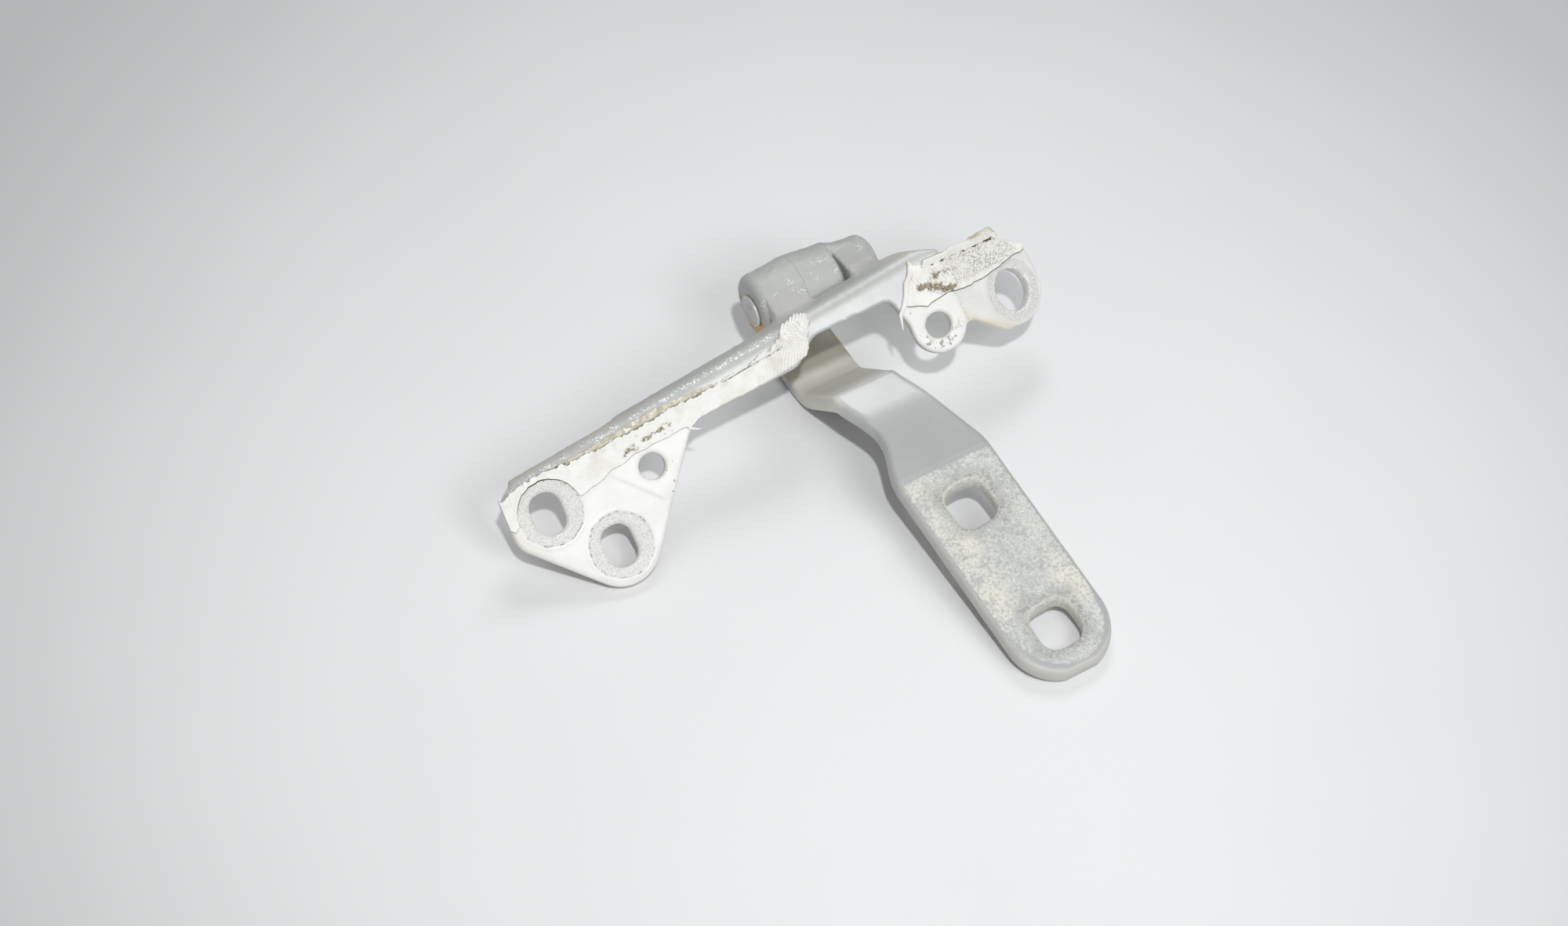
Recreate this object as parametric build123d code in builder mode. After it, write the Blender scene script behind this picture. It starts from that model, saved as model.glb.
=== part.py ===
"""Boot lid hinge: body bracket with two eyes, cranked lid arm, headed pin, bushes and torn seam sealer.

Frame: X runs along the pin axis, Z is up from the table it lies on, the origin is under its middle.
All sizes are in millimetres.
"""
import os
from math import cos, sin, tan, radians, hypot

from build123d import *

os.makedirs("parts", exist_ok=True)

# Where the plate of the body bracket stands: its first slot, its lean and its turn off the pin axis
SLOT_POS = (-83.1, 38.05, 20.893)
PLATE_LEAN = 38.0
PLATE_TURN = 5.0
PLATE_T = 4.0

# Top edge of the plate and the flange that is bent back along it
TOP_Y = 13.3
TOP_RISE = 0.11
TOP_LEFT = -7.0
FLANGE_LEAN = 15.0
BEND_R = 5.5
STRIP_DEPTH = 30.0
STRIP_WIDE = 60.0
FLANGE_SHORT = 6.0
FLANGE_LONG = 8.5
FLANGE_EYES = 9.8
FLANGE_RIGHT = 7.0
FLANGE_END = 3.5
FLANGE_STEP = (28.0, 33.0)
FLANGE_RUN = 9.0
FLANGE_ROUNDS = (8.0, 6.0, 8.0, 12.0, 4.0, 4.0)

# Left foot
SLOT_W = 10.0
SLOT_L = 13.5
SLOT_CORNER = 4.4
SLOT2 = (16.4, -17.8)
FOOT_HOLE = (35.4, 0.4)
HOLE_D = 8.4

FOOT_CORNERS = ((-12.6, 8.4), (-12.6, -6.2), (17.6, -37.0))
FOOT_ROUNDS = (2.0, 8.0, 12.4)

# Beam that arches over the arm
BEAM_CORNERS = ((52.5, 7.75), (90.5, 10.0), (98.5, 16.9), (125.4, 17.6))
BEAM_ROUNDS = (9.0, 6.0, 6.0, 3.0)

# Right foot: a small lobe in the plate and a large one bent back at the crease
LOBE_HOLE = (137.3, 4.2)
LOBE_R = 8.8
LOBE_FLAT = 0.2
LOBE_NECK = 3.8
CREASE_X = 146.6
CREASE_TOP = 26.4
TOP_CUT = (14.0, 5.0)
CREASE_BEND = 22.0
BIG_HOLE = (22.0, 4.5)
BIG_HOLE_D = 13.6
BIG_CORNERS = ((3.0, 1.2), (14.5, -6.9), (34.2, -6.9), (34.2, 17.2), (23.0, 22.0), (6.0, 23.2))
BIG_ROUNDS = (4.0, 6.0, 12.0, 11.0, 6.0, 4.0)

# Pin, bushes and eyes; all lie on one axis along X
PIN_Y = 70.5
PIN_Z = 30.0
PIN_D = 8.0
PIN_HEAD_D = 10.6
PIN_HEAD_T = 0.9
PIN_RUN = 0.04
SIDE_RUN = 0.2
BUSH_D = 11.0
BUSH_FLANGE_D = 22.2
BUSH_FLANGE_ROUND = 0.4
BUSH_RIM_D = 15.0
BUSH_FLANGE_T = 1.0
EYE_R = 11.3
EYE_LEFT = (7.9, 22.2)
EYE_RIGHT = (36.9, 50.2)
EYE_RIGHT_R = 9.4
EYE_ROUND = 1.5
EYE_FACE_ROUND = 0.5
EYE_END_ROUND = 3.0
PIN_END = 49.4
HEAD_FACE = EYE_LEFT[0] - BUSH_FLANGE_T - SIDE_RUN - PIN_HEAD_T
WEB_DEPTH = 8.0

# Lid arm: side view along Y and Z of its upper side, then its plan
ARM_T = 6.2
ARM_EYE = (22.6, 35.7)
ARM_LEFT = 12.3
ARM_REACH = 53.4
BELLY_FRONT = 50.5
CREST = (30.6, 26.0)
FACET_END = (18.5, 26.3)
PAD_FALL = 11.4
TIP_Y = -82.16
HOOK_R = 7.0
BELLY_R = 9.0
CREST_R = 2.4
FACET_R = 25.0
ARM_ROUND = 2.0
ROLL_GAP = 0.5
PAD_W = 34.4
TIP_FLAT = 2.0
PAD_SKEW = 2.9
PAD_ROOT = (-3.6, -3.0)
NECK_FRONT = 27.5
NECK_CORNERS = ((17.9, 12.8), (18.0, 8.0))
NECK_SLANT = 0.2
NECK_ROUNDS = (20.0, 10.0, 11.0, 20.0)
BACK_ROUNDS = (18.0, 20.0)
PAD_HOLE = 14.0
PAD_HOLE_CORNER = 4.4
PAD_HOLE_ROUND = 1.2
PAD_HOLES = ((31.9, -20.9), (34.2, -66.3))

# Sealer left on the plate
SEALER_T = 0.9
SEALER_BELOW = 4.4
STRIP_ENDS = (8.6, 95.0)
STRIP_CORNERS = (
    (12.6, 1.4), (21.3, 4.9), (38.9, 6.7), (50.6, 6.4), (56.0, 8.4), (90.0, 10.5), (97.0, 16.6),
)
STRIP_ROUNDS = (1.0, 3.0, 4.0, 2.0, 4.0, 3.0, 1.0)
PATCH_EDGES = (12.0, 21.6)
PATCH_LEFT = 131.0
PATCH_CORNERS = ((128.8, 13.4), (135.9, 11.0))
PATCH_FAR_CORNERS = ((9.0, 12.4), (30.6, 14.6), (31.4, 15.8), (21.0, 21.2), (8.0, 21.6))

lean = radians(PLATE_LEAN)
turn = radians(PLATE_TURN)
bend = radians(CREASE_BEND)
plate_x = Vector(cos(turn), -sin(turn) * sin(lean), sin(turn) * cos(lean))
plate_n = Vector(-sin(turn), -cos(turn) * sin(lean), cos(turn) * cos(lean))
plate = Plane(origin=SLOT_POS, x_dir=plate_x, z_dir=plate_n)
lobe_plane = Plane(
    origin=plate.from_local_coords(Vector(CREASE_X, 0, 0)),
    x_dir=plate_x * cos(bend) - plate_n * sin(bend),
    z_dir=plate_n * cos(bend) + plate_x * sin(bend),
)
rise = hypot(1, TOP_RISE)
flange_lean = radians(FLANGE_LEAN)
edge_dir = (plate_x + plate.y_dir * TOP_RISE) * (1 / rise)
edge_up = (plate.y_dir - plate_x * TOP_RISE) * (1 / rise)
flange_plane = Plane(
    origin=plate.from_local_coords(Vector(0, TOP_Y, 0)),
    x_dir=edge_dir,
    z_dir=edge_up * cos(flange_lean) + plate_n * sin(flange_lean),
)
pin_axis = Axis((0, PIN_Y, PIN_Z), (1, 0, 0))
pin_section = Plane(origin=(0, PIN_Y, PIN_Z), x_dir=(1, 0, 0), z_dir=(0, -1, 0))


def top_of_plate(x):
    """Height of the plate's top edge at x."""
    return TOP_Y + TOP_RISE * x


def along_flange(x_world):
    """Distance along the flange of a point at x_world on the pin axis."""
    return flange_plane.to_local_coords(Vector(x_world, PIN_Y, PIN_Z)).X


def web_root(x_world):
    """Side-view point inside the flange that an eye's web grows from."""
    x = along_flange(x_world)
    p = flange_plane.from_local_coords(Vector(x, WEB_DEPTH, -PLATE_T / 2))
    return (p.Y, p.Z)


def other_side(points, thickness):
    """Corners of a strap's other side, parallel to the side given."""
    steps = [Vector(q[0] - p[0], q[1] - p[1]).normalized() for p, q in zip(points, points[1:])]
    out = []
    for i, p in enumerate(points):
        before = steps[max(i - 1, 0)]
        after = steps[min(i, len(steps) - 1)]
        middle = (before + after).normalized()
        reach = thickness / middle.dot(after)
        out.append((p[0] + middle.Y * reach, p[1] - middle.X * reach))
    return out


# Body bracket: one pressing of thick steel
with BuildPart() as body_bracket:
    # strip folded along its top edge
    back = STRIP_DEPTH * cos(flange_lean)
    lift = STRIP_DEPTH * sin(flange_lean)
    under = (PLATE_T * sin(flange_lean), PLATE_T * cos(flange_lean))
    crook = under[1] - (PLATE_T - under[0]) * tan(flange_lean)
    strip_start = flange_plane.from_local_coords(Vector(-STRIP_DEPTH, 0, 0))
    with BuildSketch(Plane(strip_start, plate_n, edge_dir)):
        with BuildLine():
            FilletPolyline(
                (0, STRIP_WIDE),
                (0, 0),
                (-back, -lift),
                (-back - under[0], -lift + under[1]),
                (-PLATE_T, crook),
                (-PLATE_T, STRIP_WIDE),
                radius=(0, BEND_R, 0, 0, BEND_R - PLATE_T, 0),
                close=True,
            )
        make_face()
    extrude(amount=STRIP_DEPTH + CREASE_X * rise)

    # front outline: left foot, the beam that arches over the arm, and the small lobe
    lobe_left = LOBE_HOLE[0] - LOBE_R
    lobe_low = LOBE_HOLE[1] - LOBE_R
    with BuildSketch(plate.offset(1)):
        with BuildLine():
            FilletPolyline(
                (TOP_LEFT, top_of_plate(TOP_LEFT)),
                *FOOT_CORNERS,
                *BEAM_CORNERS,
                (lobe_left, LOBE_HOLE[1] + LOBE_NECK),
                (lobe_left, lobe_low),
                (CREASE_X, lobe_low),
                (CREASE_X, CREASE_TOP),
                (CREASE_X - TOP_CUT[0], CREASE_TOP + TOP_CUT[1]),
                (CREASE_X - STRIP_DEPTH, CREASE_TOP + STRIP_DEPTH),
                (TOP_LEFT, CREASE_TOP + STRIP_DEPTH),
                radius=(
                    0, *FOOT_ROUNDS, *BEAM_ROUNDS, LOBE_NECK,
                    LOBE_R - LOBE_FLAT, LOBE_R - LOBE_FLAT, 0, 0, 0, 0,
                ),
                close=True,
            )
        make_face()
        with Locations((0, 0), SLOT2):
            RectangleRounded(SLOT_W, SLOT_L, SLOT_CORNER, mode=Mode.SUBTRACT)
        with Locations(FOOT_HOLE, LOBE_HOLE):
            Circle(HOLE_D / 2, mode=Mode.SUBTRACT)
    extrude(amount=-STRIP_DEPTH - 2, mode=Mode.INTERSECT)

    # plan of the flange: deepest where it carries the eyes
    eyes_a = along_flange(EYE_LEFT[0])
    eyes_b = along_flange(EYE_RIGHT[1])
    with BuildSketch(flange_plane.offset(1)):
        with BuildLine():
            FilletPolyline(
                (-STRIP_DEPTH, -STRIP_DEPTH),
                (CREASE_X * rise + FLANGE_RUN, -STRIP_DEPTH),
                (CREASE_X * rise + FLANGE_RUN, FLANGE_END),
                (eyes_b + FLANGE_RUN, FLANGE_RIGHT),
                (eyes_b, FLANGE_EYES),
                (eyes_a, FLANGE_EYES),
                (eyes_a - FLANGE_RUN, FLANGE_LONG),
                (FLANGE_STEP[1], FLANGE_LONG),
                (FLANGE_STEP[0], FLANGE_SHORT),
                (-STRIP_DEPTH, FLANGE_SHORT),
                radius=(0, 0, 0, *FLANGE_ROUNDS, 0),
                close=True,
            )
        make_face()
    extrude(amount=-STRIP_WIDE - STRIP_DEPTH, mode=Mode.INTERSECT)

    # large lobe of the right foot
    with BuildSketch(lobe_plane):
        with BuildLine():
            FilletPolyline(
                (0, BIG_CORNERS[0][1]),
                *BIG_CORNERS,
                (0, BIG_CORNERS[-1][1]),
                radius=(0, *BIG_ROUNDS, 0),
                close=True,
            )
        make_face()
        with Locations(BIG_HOLE):
            Circle(BIG_HOLE_D / 2, mode=Mode.SUBTRACT)
    extrude(amount=-PLATE_T)

    # left eye: its web, then its barrel with a rounded outer end
    with BuildSketch(Plane.YZ.offset(EYE_LEFT[0] + EYE_FACE_ROUND)):
        with Locations((PIN_Y, PIN_Z)):
            Circle(EYE_R)
        with Locations(web_root(sum(EYE_LEFT) / 2)):
            Circle(PLATE_T / 2)
        make_hull()
    extrude(amount=EYE_LEFT[1] - EYE_LEFT[0] - EYE_FACE_ROUND)
    with BuildSketch(pin_section):
        with BuildLine():
            FilletPolyline(
                (EYE_LEFT[0], 0),
                (EYE_LEFT[0], EYE_R),
                (EYE_LEFT[1], EYE_R),
                (EYE_LEFT[1], 0),
                radius=(0, EYE_FACE_ROUND, 0, 0),
                close=True,
            )
        make_face()
    revolve(axis=pin_axis)
    # right eye
    with BuildSketch(Plane.YZ.offset(EYE_RIGHT[0])):
        with Locations((PIN_Y, PIN_Z)):
            Circle(EYE_RIGHT_R)
        with Locations(web_root(sum(EYE_RIGHT) / 2)):
            Circle(PLATE_T / 2)
        make_hull()
    extrude(amount=EYE_RIGHT[1] - EYE_RIGHT[0] - EYE_END_ROUND)
    with BuildSketch(pin_section):
        with BuildLine():
            FilletPolyline(
                (EYE_RIGHT[0], 0),
                (EYE_RIGHT[0], EYE_RIGHT_R),
                (EYE_RIGHT[1], EYE_RIGHT_R),
                (EYE_RIGHT[1], 0),
                radius=(0, 0, EYE_END_ROUND, 0),
                close=True,
            )
        make_face()
    revolve(axis=pin_axis)
    # bores for the bushes
    with BuildSketch(Plane.YZ.offset(EYE_LEFT[0])):
        with Locations((PIN_Y, PIN_Z)):
            Circle(BUSH_D / 2)
    extrude(amount=EYE_RIGHT[1] - EYE_LEFT[0], mode=Mode.SUBTRACT)
body_bracket.part.label = "body_bracket"
export_step(body_bracket.part, "parts/body_bracket.step")

# Lid arm: one cranked strap with a rolled eye
def pad_at(across, y):
    """Point of the pad in plan, across its own middle line."""
    slope = tan(radians(PAD_SKEW))
    return (PAD_HOLES[0][0] + (PAD_HOLES[0][1] - y) * slope + across, y)


inner_y = PIN_Y + EYE_R - ARM_T
pad_drop = tan(radians(PAD_FALL)) * (FACET_END[0] - TIP_Y)
tip_r = (PAD_W - TIP_FLAT) / 2
upper = [
    (inner_y, PIN_Z),
    (inner_y, ARM_T),
    (BELLY_FRONT, ARM_T),
    CREST,
    FACET_END,
    (TIP_Y, FACET_END[1] - pad_drop),
]
lower = other_side(upper, -ARM_T)
with BuildPart() as lid_arm:
    with BuildSketch(Plane.YZ.offset(ARM_LEFT)):
        with BuildLine():
            FilletPolyline(
                *upper,
                *reversed(lower),
                radius=(
                    0, HOOK_R, BELLY_R, CREST_R, FACET_R, 0,
                    0, FACET_R - ARM_T, 4, BELLY_R + ARM_T, HOOK_R + ARM_T, 0,
                ),
                close=True,
            )
        make_face()
    extrude(amount=ARM_REACH - ARM_LEFT)
    # plan: belly, narrow neck, wide pad with a round tip
    with BuildSketch(Plane.XY.offset(-5)):
        with BuildLine():
            FilletPolyline(
                (ARM_LEFT, PIN_Y + 2 * EYE_R),
                (ARM_LEFT, NECK_FRONT),
                *NECK_CORNERS,
                pad_at(-PAD_W / 2, PAD_ROOT[0]),
                pad_at(-PAD_W / 2, TIP_Y),
                pad_at(PAD_W / 2, TIP_Y),
                pad_at(PAD_W / 2, PAD_ROOT[1]),
                (ARM_EYE[1] - NECK_SLANT, CREST[0]),
                (ARM_EYE[1], PIN_Y + 2 * EYE_R),
                radius=(0, *NECK_ROUNDS, tip_r, tip_r, *BACK_ROUNDS, 0),
                close=True,
            )
        make_face()
        for spot in PAD_HOLES:
            with Locations(Location((spot[0], spot[1], 0), (0, 0, PAD_SKEW))):
                RectangleRounded(PAD_HOLE, PAD_HOLE, PAD_HOLE_CORNER, mode=Mode.SUBTRACT)
    extrude(amount=PIN_Z + 35, mode=Mode.INTERSECT)
    # rounded rims of the pad and of its two holes
    for rounding in ("outline", "holes"):
        pad_faces = lid_arm.faces().filter_by(GeomType.PLANE).sort_by(SortBy.AREA)[-2:]
        if rounding == "outline":
            rims = [e for f in pad_faces for e in f.outer_wire().edges().sort_by(Axis.Y)[:-1]]
            fillet(rims, ARM_ROUND)
        else:
            rims = [e for f in pad_faces for w in f.inner_wires() for e in w.edges()]
            fillet(rims, PAD_HOLE_ROUND)
    # back view of the hook: it narrows up to the width of the eye
    with BuildSketch(Plane.XZ.offset(-PIN_Y - 20)):
        with BuildLine():
            FilletPolyline(
                (ARM_LEFT - 5, PIN_Z + 30),
                (ARM_EYE[0], PIN_Z + 30),
                (ARM_EYE[0], PIN_Z - 12),
                (ARM_LEFT - 1, ARM_T + 4),
                (ARM_LEFT - 5, ARM_T + 4),
                radius=(0, 0, 8, 0, 0),
                close=True,
            )
        make_face()
    extrude(amount=32, mode=Mode.SUBTRACT)
    # rolled eye, closed but for a narrow gap, tight on the pin
    with BuildSketch(pin_section):
        with BuildLine():
            FilletPolyline(
                (ARM_EYE[0], 0),
                (ARM_EYE[0], EYE_R),
                (ARM_EYE[1], EYE_R),
                (ARM_EYE[1], 0),
                radius=(0, 0, EYE_ROUND, 0),
                close=True,
            )
        make_face()
    revolve(axis=pin_axis)
    with BuildSketch(Plane.YZ.offset(ARM_EYE[0])):
        with Locations((PIN_Y, PIN_Z)):
            Circle(PIN_D / 2)
        with Locations((PIN_Y + PIN_D / 2 - ROLL_GAP / 2, PIN_Z - EYE_R / 2 - 1)):
            Rectangle(ROLL_GAP, EYE_R + 2)
    extrude(amount=ARM_EYE[1] - ARM_EYE[0], mode=Mode.SUBTRACT)
lid_arm.part.label = "lid_arm"
export_step(lid_arm.part, "parts/lid_arm.step")

# Hinge pin: headed at the left, tight in the arm's eye
with BuildPart() as hinge_pin:
    with BuildSketch(Plane.YZ.offset(HEAD_FACE)):
        with Locations((PIN_Y, PIN_Z)):
            Circle(PIN_HEAD_D / 2)
    extrude(amount=PIN_HEAD_T)
    fillet(hinge_pin.edges().sort_by(Axis.X)[0], 0.5)
    with BuildSketch(Plane.YZ.offset(HEAD_FACE + PIN_HEAD_T)):
        with Locations((PIN_Y, PIN_Z)):
            Circle(PIN_D / 2)
    extrude(amount=PIN_END - HEAD_FACE - PIN_HEAD_T)
hinge_pin.part.label = "hinge_pin"
export_step(hinge_pin.part, "parts/hinge_pin.step")

# Bushes: the left one has its flange under the pin head, the right one in the gap beside the arm's eye
with BuildPart() as bush_left:
    with BuildSketch(Plane.YZ.offset(EYE_LEFT[0] - BUSH_FLANGE_T)):
        with Locations((PIN_Y, PIN_Z)):
            Circle(BUSH_FLANGE_D / 2)
    extrude(amount=BUSH_FLANGE_T)
    fillet(bush_left.edges().sort_by(Axis.X)[0], BUSH_FLANGE_ROUND)
    with BuildSketch(Plane.YZ.offset(EYE_LEFT[0])):
        with Locations((PIN_Y, PIN_Z)):
            Circle(BUSH_D / 2)
    extrude(amount=EYE_LEFT[1] - EYE_LEFT[0])
    with BuildSketch(Plane.YZ.offset(EYE_LEFT[0] - BUSH_FLANGE_T)):
        with Locations((PIN_Y, PIN_Z)):
            Circle(PIN_D / 2 + PIN_RUN)
    extrude(amount=EYE_LEFT[1] - EYE_LEFT[0] + BUSH_FLANGE_T, mode=Mode.SUBTRACT)
bush_left.part.label = "bush_left"
export_step(bush_left.part, "parts/bush_left.step")

with BuildPart() as bush_right:
    with BuildSketch(Plane.YZ.offset(EYE_RIGHT[0] - BUSH_FLANGE_T)):
        with Locations((PIN_Y, PIN_Z)):
            Circle(BUSH_RIM_D / 2)
    extrude(amount=BUSH_FLANGE_T)
    with BuildSketch(Plane.YZ.offset(EYE_RIGHT[0])):
        with Locations((PIN_Y, PIN_Z)):
            Circle(BUSH_D / 2)
    extrude(amount=EYE_RIGHT[1] - EYE_RIGHT[0])
    with BuildSketch(Plane.YZ.offset(EYE_RIGHT[0] - BUSH_FLANGE_T)):
        with Locations((PIN_Y, PIN_Z)):
            Circle(PIN_D / 2 + PIN_RUN)
    extrude(amount=EYE_RIGHT[1] - EYE_RIGHT[0] + BUSH_FLANGE_T, mode=Mode.SUBTRACT)
bush_right.part.label = "bush_right"
export_step(bush_right.part, "parts/bush_right.step")

# Torn seam sealer: a strip along the left half of the plate and a patch folded over the right foot
with BuildPart() as sealer_left:
    with BuildSketch(plate):
        with BuildLine():
            FilletPolyline(
                (STRIP_ENDS[0], top_of_plate(STRIP_ENDS[0]) - SEALER_BELOW),
                *STRIP_CORNERS,
                (STRIP_ENDS[1], top_of_plate(STRIP_ENDS[1]) - SEALER_BELOW),
                radius=(0, *STRIP_ROUNDS, 0),
                close=True,
            )
        make_face()
    extrude(amount=SEALER_T)
sealer_left.part.label = "sealer_left"
export_step(sealer_left.part, "parts/sealer_left.step")

mitre = SEALER_T * tan(bend / 2)
with BuildPart() as sealer_right:
    with BuildSketch(plate):
        with BuildLine():
            FilletPolyline(
                (CREASE_X + mitre, PATCH_EDGES[0]),
                (CREASE_X + mitre, PATCH_EDGES[1]),
                (PATCH_LEFT, top_of_plate(PATCH_LEFT) - SEALER_BELOW),
                *PATCH_CORNERS,
                radius=(0, 0, 2, 1, 4),
                close=True,
            )
        make_face()
    extrude(amount=SEALER_T)
    with BuildSketch(lobe_plane):
        with BuildLine():
            FilletPolyline(
                (-mitre, PATCH_EDGES[0]),
                *PATCH_FAR_CORNERS,
                (-mitre, PATCH_EDGES[1]),
                radius=(0, 10, 0.4, 0.4, 3, 6, 0),
                close=True,
            )
        make_face()
    extrude(amount=SEALER_T)
sealer_right.part.label = "sealer_right"
export_step(sealer_right.part, "parts/sealer_right.step")
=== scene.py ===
# %% [markdown]
# # Boot lid hinge
# A used hinge from the boot lid of a car, laid open on a pale table. A long pressed bracket carries two
# eyes, a cranked arm turns between them on a pin, and torn seam sealer is still stuck to the bracket's
# face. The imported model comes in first, because every piece below rides on one of its two bodies.

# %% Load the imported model
import math

import bmesh
import bpy
import numpy as np
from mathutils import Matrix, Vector


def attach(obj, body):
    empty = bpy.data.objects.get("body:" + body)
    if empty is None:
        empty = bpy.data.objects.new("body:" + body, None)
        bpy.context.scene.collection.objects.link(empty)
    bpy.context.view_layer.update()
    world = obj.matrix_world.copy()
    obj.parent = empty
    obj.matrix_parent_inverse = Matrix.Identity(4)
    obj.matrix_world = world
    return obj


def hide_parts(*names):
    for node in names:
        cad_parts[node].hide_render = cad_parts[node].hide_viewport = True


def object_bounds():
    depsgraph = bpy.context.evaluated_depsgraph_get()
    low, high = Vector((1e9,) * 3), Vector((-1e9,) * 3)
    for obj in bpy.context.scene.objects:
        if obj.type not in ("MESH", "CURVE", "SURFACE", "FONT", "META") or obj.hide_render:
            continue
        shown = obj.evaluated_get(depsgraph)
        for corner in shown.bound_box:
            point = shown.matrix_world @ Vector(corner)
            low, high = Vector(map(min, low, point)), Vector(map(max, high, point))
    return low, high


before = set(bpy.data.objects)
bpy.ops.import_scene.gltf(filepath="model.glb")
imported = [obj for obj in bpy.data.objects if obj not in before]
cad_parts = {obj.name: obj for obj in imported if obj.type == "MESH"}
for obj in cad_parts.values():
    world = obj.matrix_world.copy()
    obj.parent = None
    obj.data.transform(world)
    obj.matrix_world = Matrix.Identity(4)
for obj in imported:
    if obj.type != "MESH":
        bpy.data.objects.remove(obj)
CAD_BOX = [list(corner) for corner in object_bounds()]
print("nodes:", sorted(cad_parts))

# %% [markdown]
# The bracket's plate leans back and is turned a little off the pin's line, and its large right lobe is
# folded away from it. Marks on the plate are easiest to place in the plate's own directions, in
# millimetres, so those directions come first. `plate_skin` also follows the bend along the top edge, where
# the flange turns back.

# %% Directions of the plate
MM = 0.001
LEAN = math.radians(38.0)
TURN = math.radians(5.0)
FOLD = math.radians(22.0)
FOLD_AT = 146.6
PLATE_ZERO = np.array((-83.1, 38.05, 20.893))
PLATE_X = np.array((math.cos(TURN), -math.sin(TURN) * math.sin(LEAN), math.sin(TURN) * math.cos(LEAN)))
PLATE_N = np.array((-math.sin(TURN), -math.cos(TURN) * math.sin(LEAN), math.cos(TURN) * math.cos(LEAN)))
PLATE_Y = np.cross(PLATE_N, PLATE_X)
LOBE_ZERO = PLATE_ZERO + FOLD_AT * PLATE_X
LOBE_X = PLATE_X * math.cos(FOLD) - PLATE_N * math.sin(FOLD)
LOBE_N = PLATE_N * math.cos(FOLD) + PLATE_X * math.sin(FOLD)
TOP_Y = 13.3
TOP_RISE = 0.11
BEND_R = 5.5
BEND_START = -4.22
BEND_TURN = math.radians(75.0)
RISE_LENGTH = math.hypot(1, TOP_RISE)
EDGE_ALONG = (PLATE_X + TOP_RISE * PLATE_Y) / RISE_LENGTH
EDGE_UP = (PLATE_Y - TOP_RISE * PLATE_X) / RISE_LENGTH
PIN_Y = 70.5
PIN_Z = 30.0
print("plate faces", PLATE_N.round(3), "lobe faces", LOBE_N.round(3))


# %% Points on the bracket's skin
def plate_skin(x, y, lift):
    """Points on the plate and over its top bend, given square on to the plate, in metres."""
    x, y, lift = np.broadcast_arrays(x, y, lift)
    up = ((y - TOP_Y) - TOP_RISE * x) / RISE_LENGTH
    along = (x + TOP_RISE * (y - TOP_Y)) / RISE_LENGTH
    share = np.clip((up - BEND_START) / BEND_R, 0, math.sin(BEND_TURN))
    turned = np.arcsin(share)
    end = BEND_START + BEND_R * math.sin(BEND_TURN)
    past = np.clip((up - end) / math.cos(BEND_TURN), 0, 7)
    on_up = np.where(up < BEND_START, up, BEND_START + BEND_R * share + past * math.cos(BEND_TURN))
    on_n = BEND_R * (np.cos(turned) - 1) - past * math.sin(BEND_TURN)
    on_up = on_up + lift * np.sin(turned)
    on_n = on_n + lift * np.cos(turned)
    point = PLATE_ZERO + TOP_Y * PLATE_Y + along[..., None] * EDGE_ALONG
    point = point + on_up[..., None] * EDGE_UP + on_n[..., None] * PLATE_N
    return point * MM


FOLD_FROM = 118.0
FOLD_STEP = 0.02
FOLD_STEPS = np.arange(FOLD_FROM, 190.0, FOLD_STEP)
FOLD_EASE = np.clip((FOLD_STEPS - FOLD_AT + 1.6) / 3.2, 0, 1)
FOLD_ANGLE = FOLD * FOLD_EASE * FOLD_EASE * (3 - 2 * FOLD_EASE)
FOLD_RUN_X = FOLD_FROM + np.cumsum(np.cos(FOLD_ANGLE)) * FOLD_STEP
FOLD_RUN_N = -np.cumsum(np.sin(FOLD_ANGLE)) * FOLD_STEP
WANDER_CELLS = 32


def foot_skin(u, y, lift):
    """Points on the right foot, u measured along the metal past the fold, in metres."""
    u, y, lift = np.broadcast_arrays(u, y, lift)
    angle = np.interp(u, FOLD_STEPS, FOLD_ANGLE)
    x = np.interp(u, FOLD_STEPS, FOLD_RUN_X) + lift * np.sin(angle)
    n = np.interp(u, FOLD_STEPS, FOLD_RUN_N) + lift * np.cos(angle)
    return (PLATE_ZERO + x[..., None] * PLATE_X + y[..., None] * PLATE_Y + n[..., None] * PLATE_N) * MM


def wander(points, size, seed):
    """Smooth random values from -1 to 1 that change over the given size, for points in mm."""
    table = np.random.default_rng(seed).uniform(-1, 1, (WANDER_CELLS, WANDER_CELLS, WANDER_CELLS))
    q = np.asarray(points) / size
    cell = np.floor(q).astype(int)
    f = q - cell
    f = f * f * (3 - 2 * f)
    total = np.zeros(q.shape[:-1])
    for corner in range(8):
        step = np.array((corner & 1, corner >> 1 & 1, corner >> 2 & 1))
        weight = np.prod(np.where(step, f, 1 - f), axis=-1)
        at = (cell + step) % WANDER_CELLS
        total += weight * table[at[..., 0], at[..., 1], at[..., 2]]
    return total


def ease(low, high, value):
    """0 below low, 1 above high, smooth between."""
    t = np.clip((value - low) / (high - low), 0, 1)
    return t * t * (3 - 2 * t)


def near(away, width):
    """1 at no distance, fading out over the given width."""
    return np.exp(-((away / width) ** 2))


def between(value, low, low_end, high, high_end):
    """1 between two soft limits, 0 outside them."""
    return ease(low, low_end, value) * (1 - ease(high, high_end, value))


print("fold ends at", FOLD_RUN_X[-1].round(2), FOLD_RUN_N[-1].round(2))

# %% [markdown]
# The shader groups below are shared by the finishes. `mottle` breaks a colour up into two tones, `speckle`
# gives a mask of small separate spots, and `paint_relief` gives the height of a paint skin: a slow orange
# peel with finer grit on it. A group keeps these in one place, and each finish only sets sizes and
# strengths.

# %% Node helpers
def put(socket, value):
    """A link or a plain value for one input."""
    if isinstance(value, bpy.types.NodeSocket):
        socket.id_data.links.new(value, socket)
    else:
        socket.default_value = value


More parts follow.
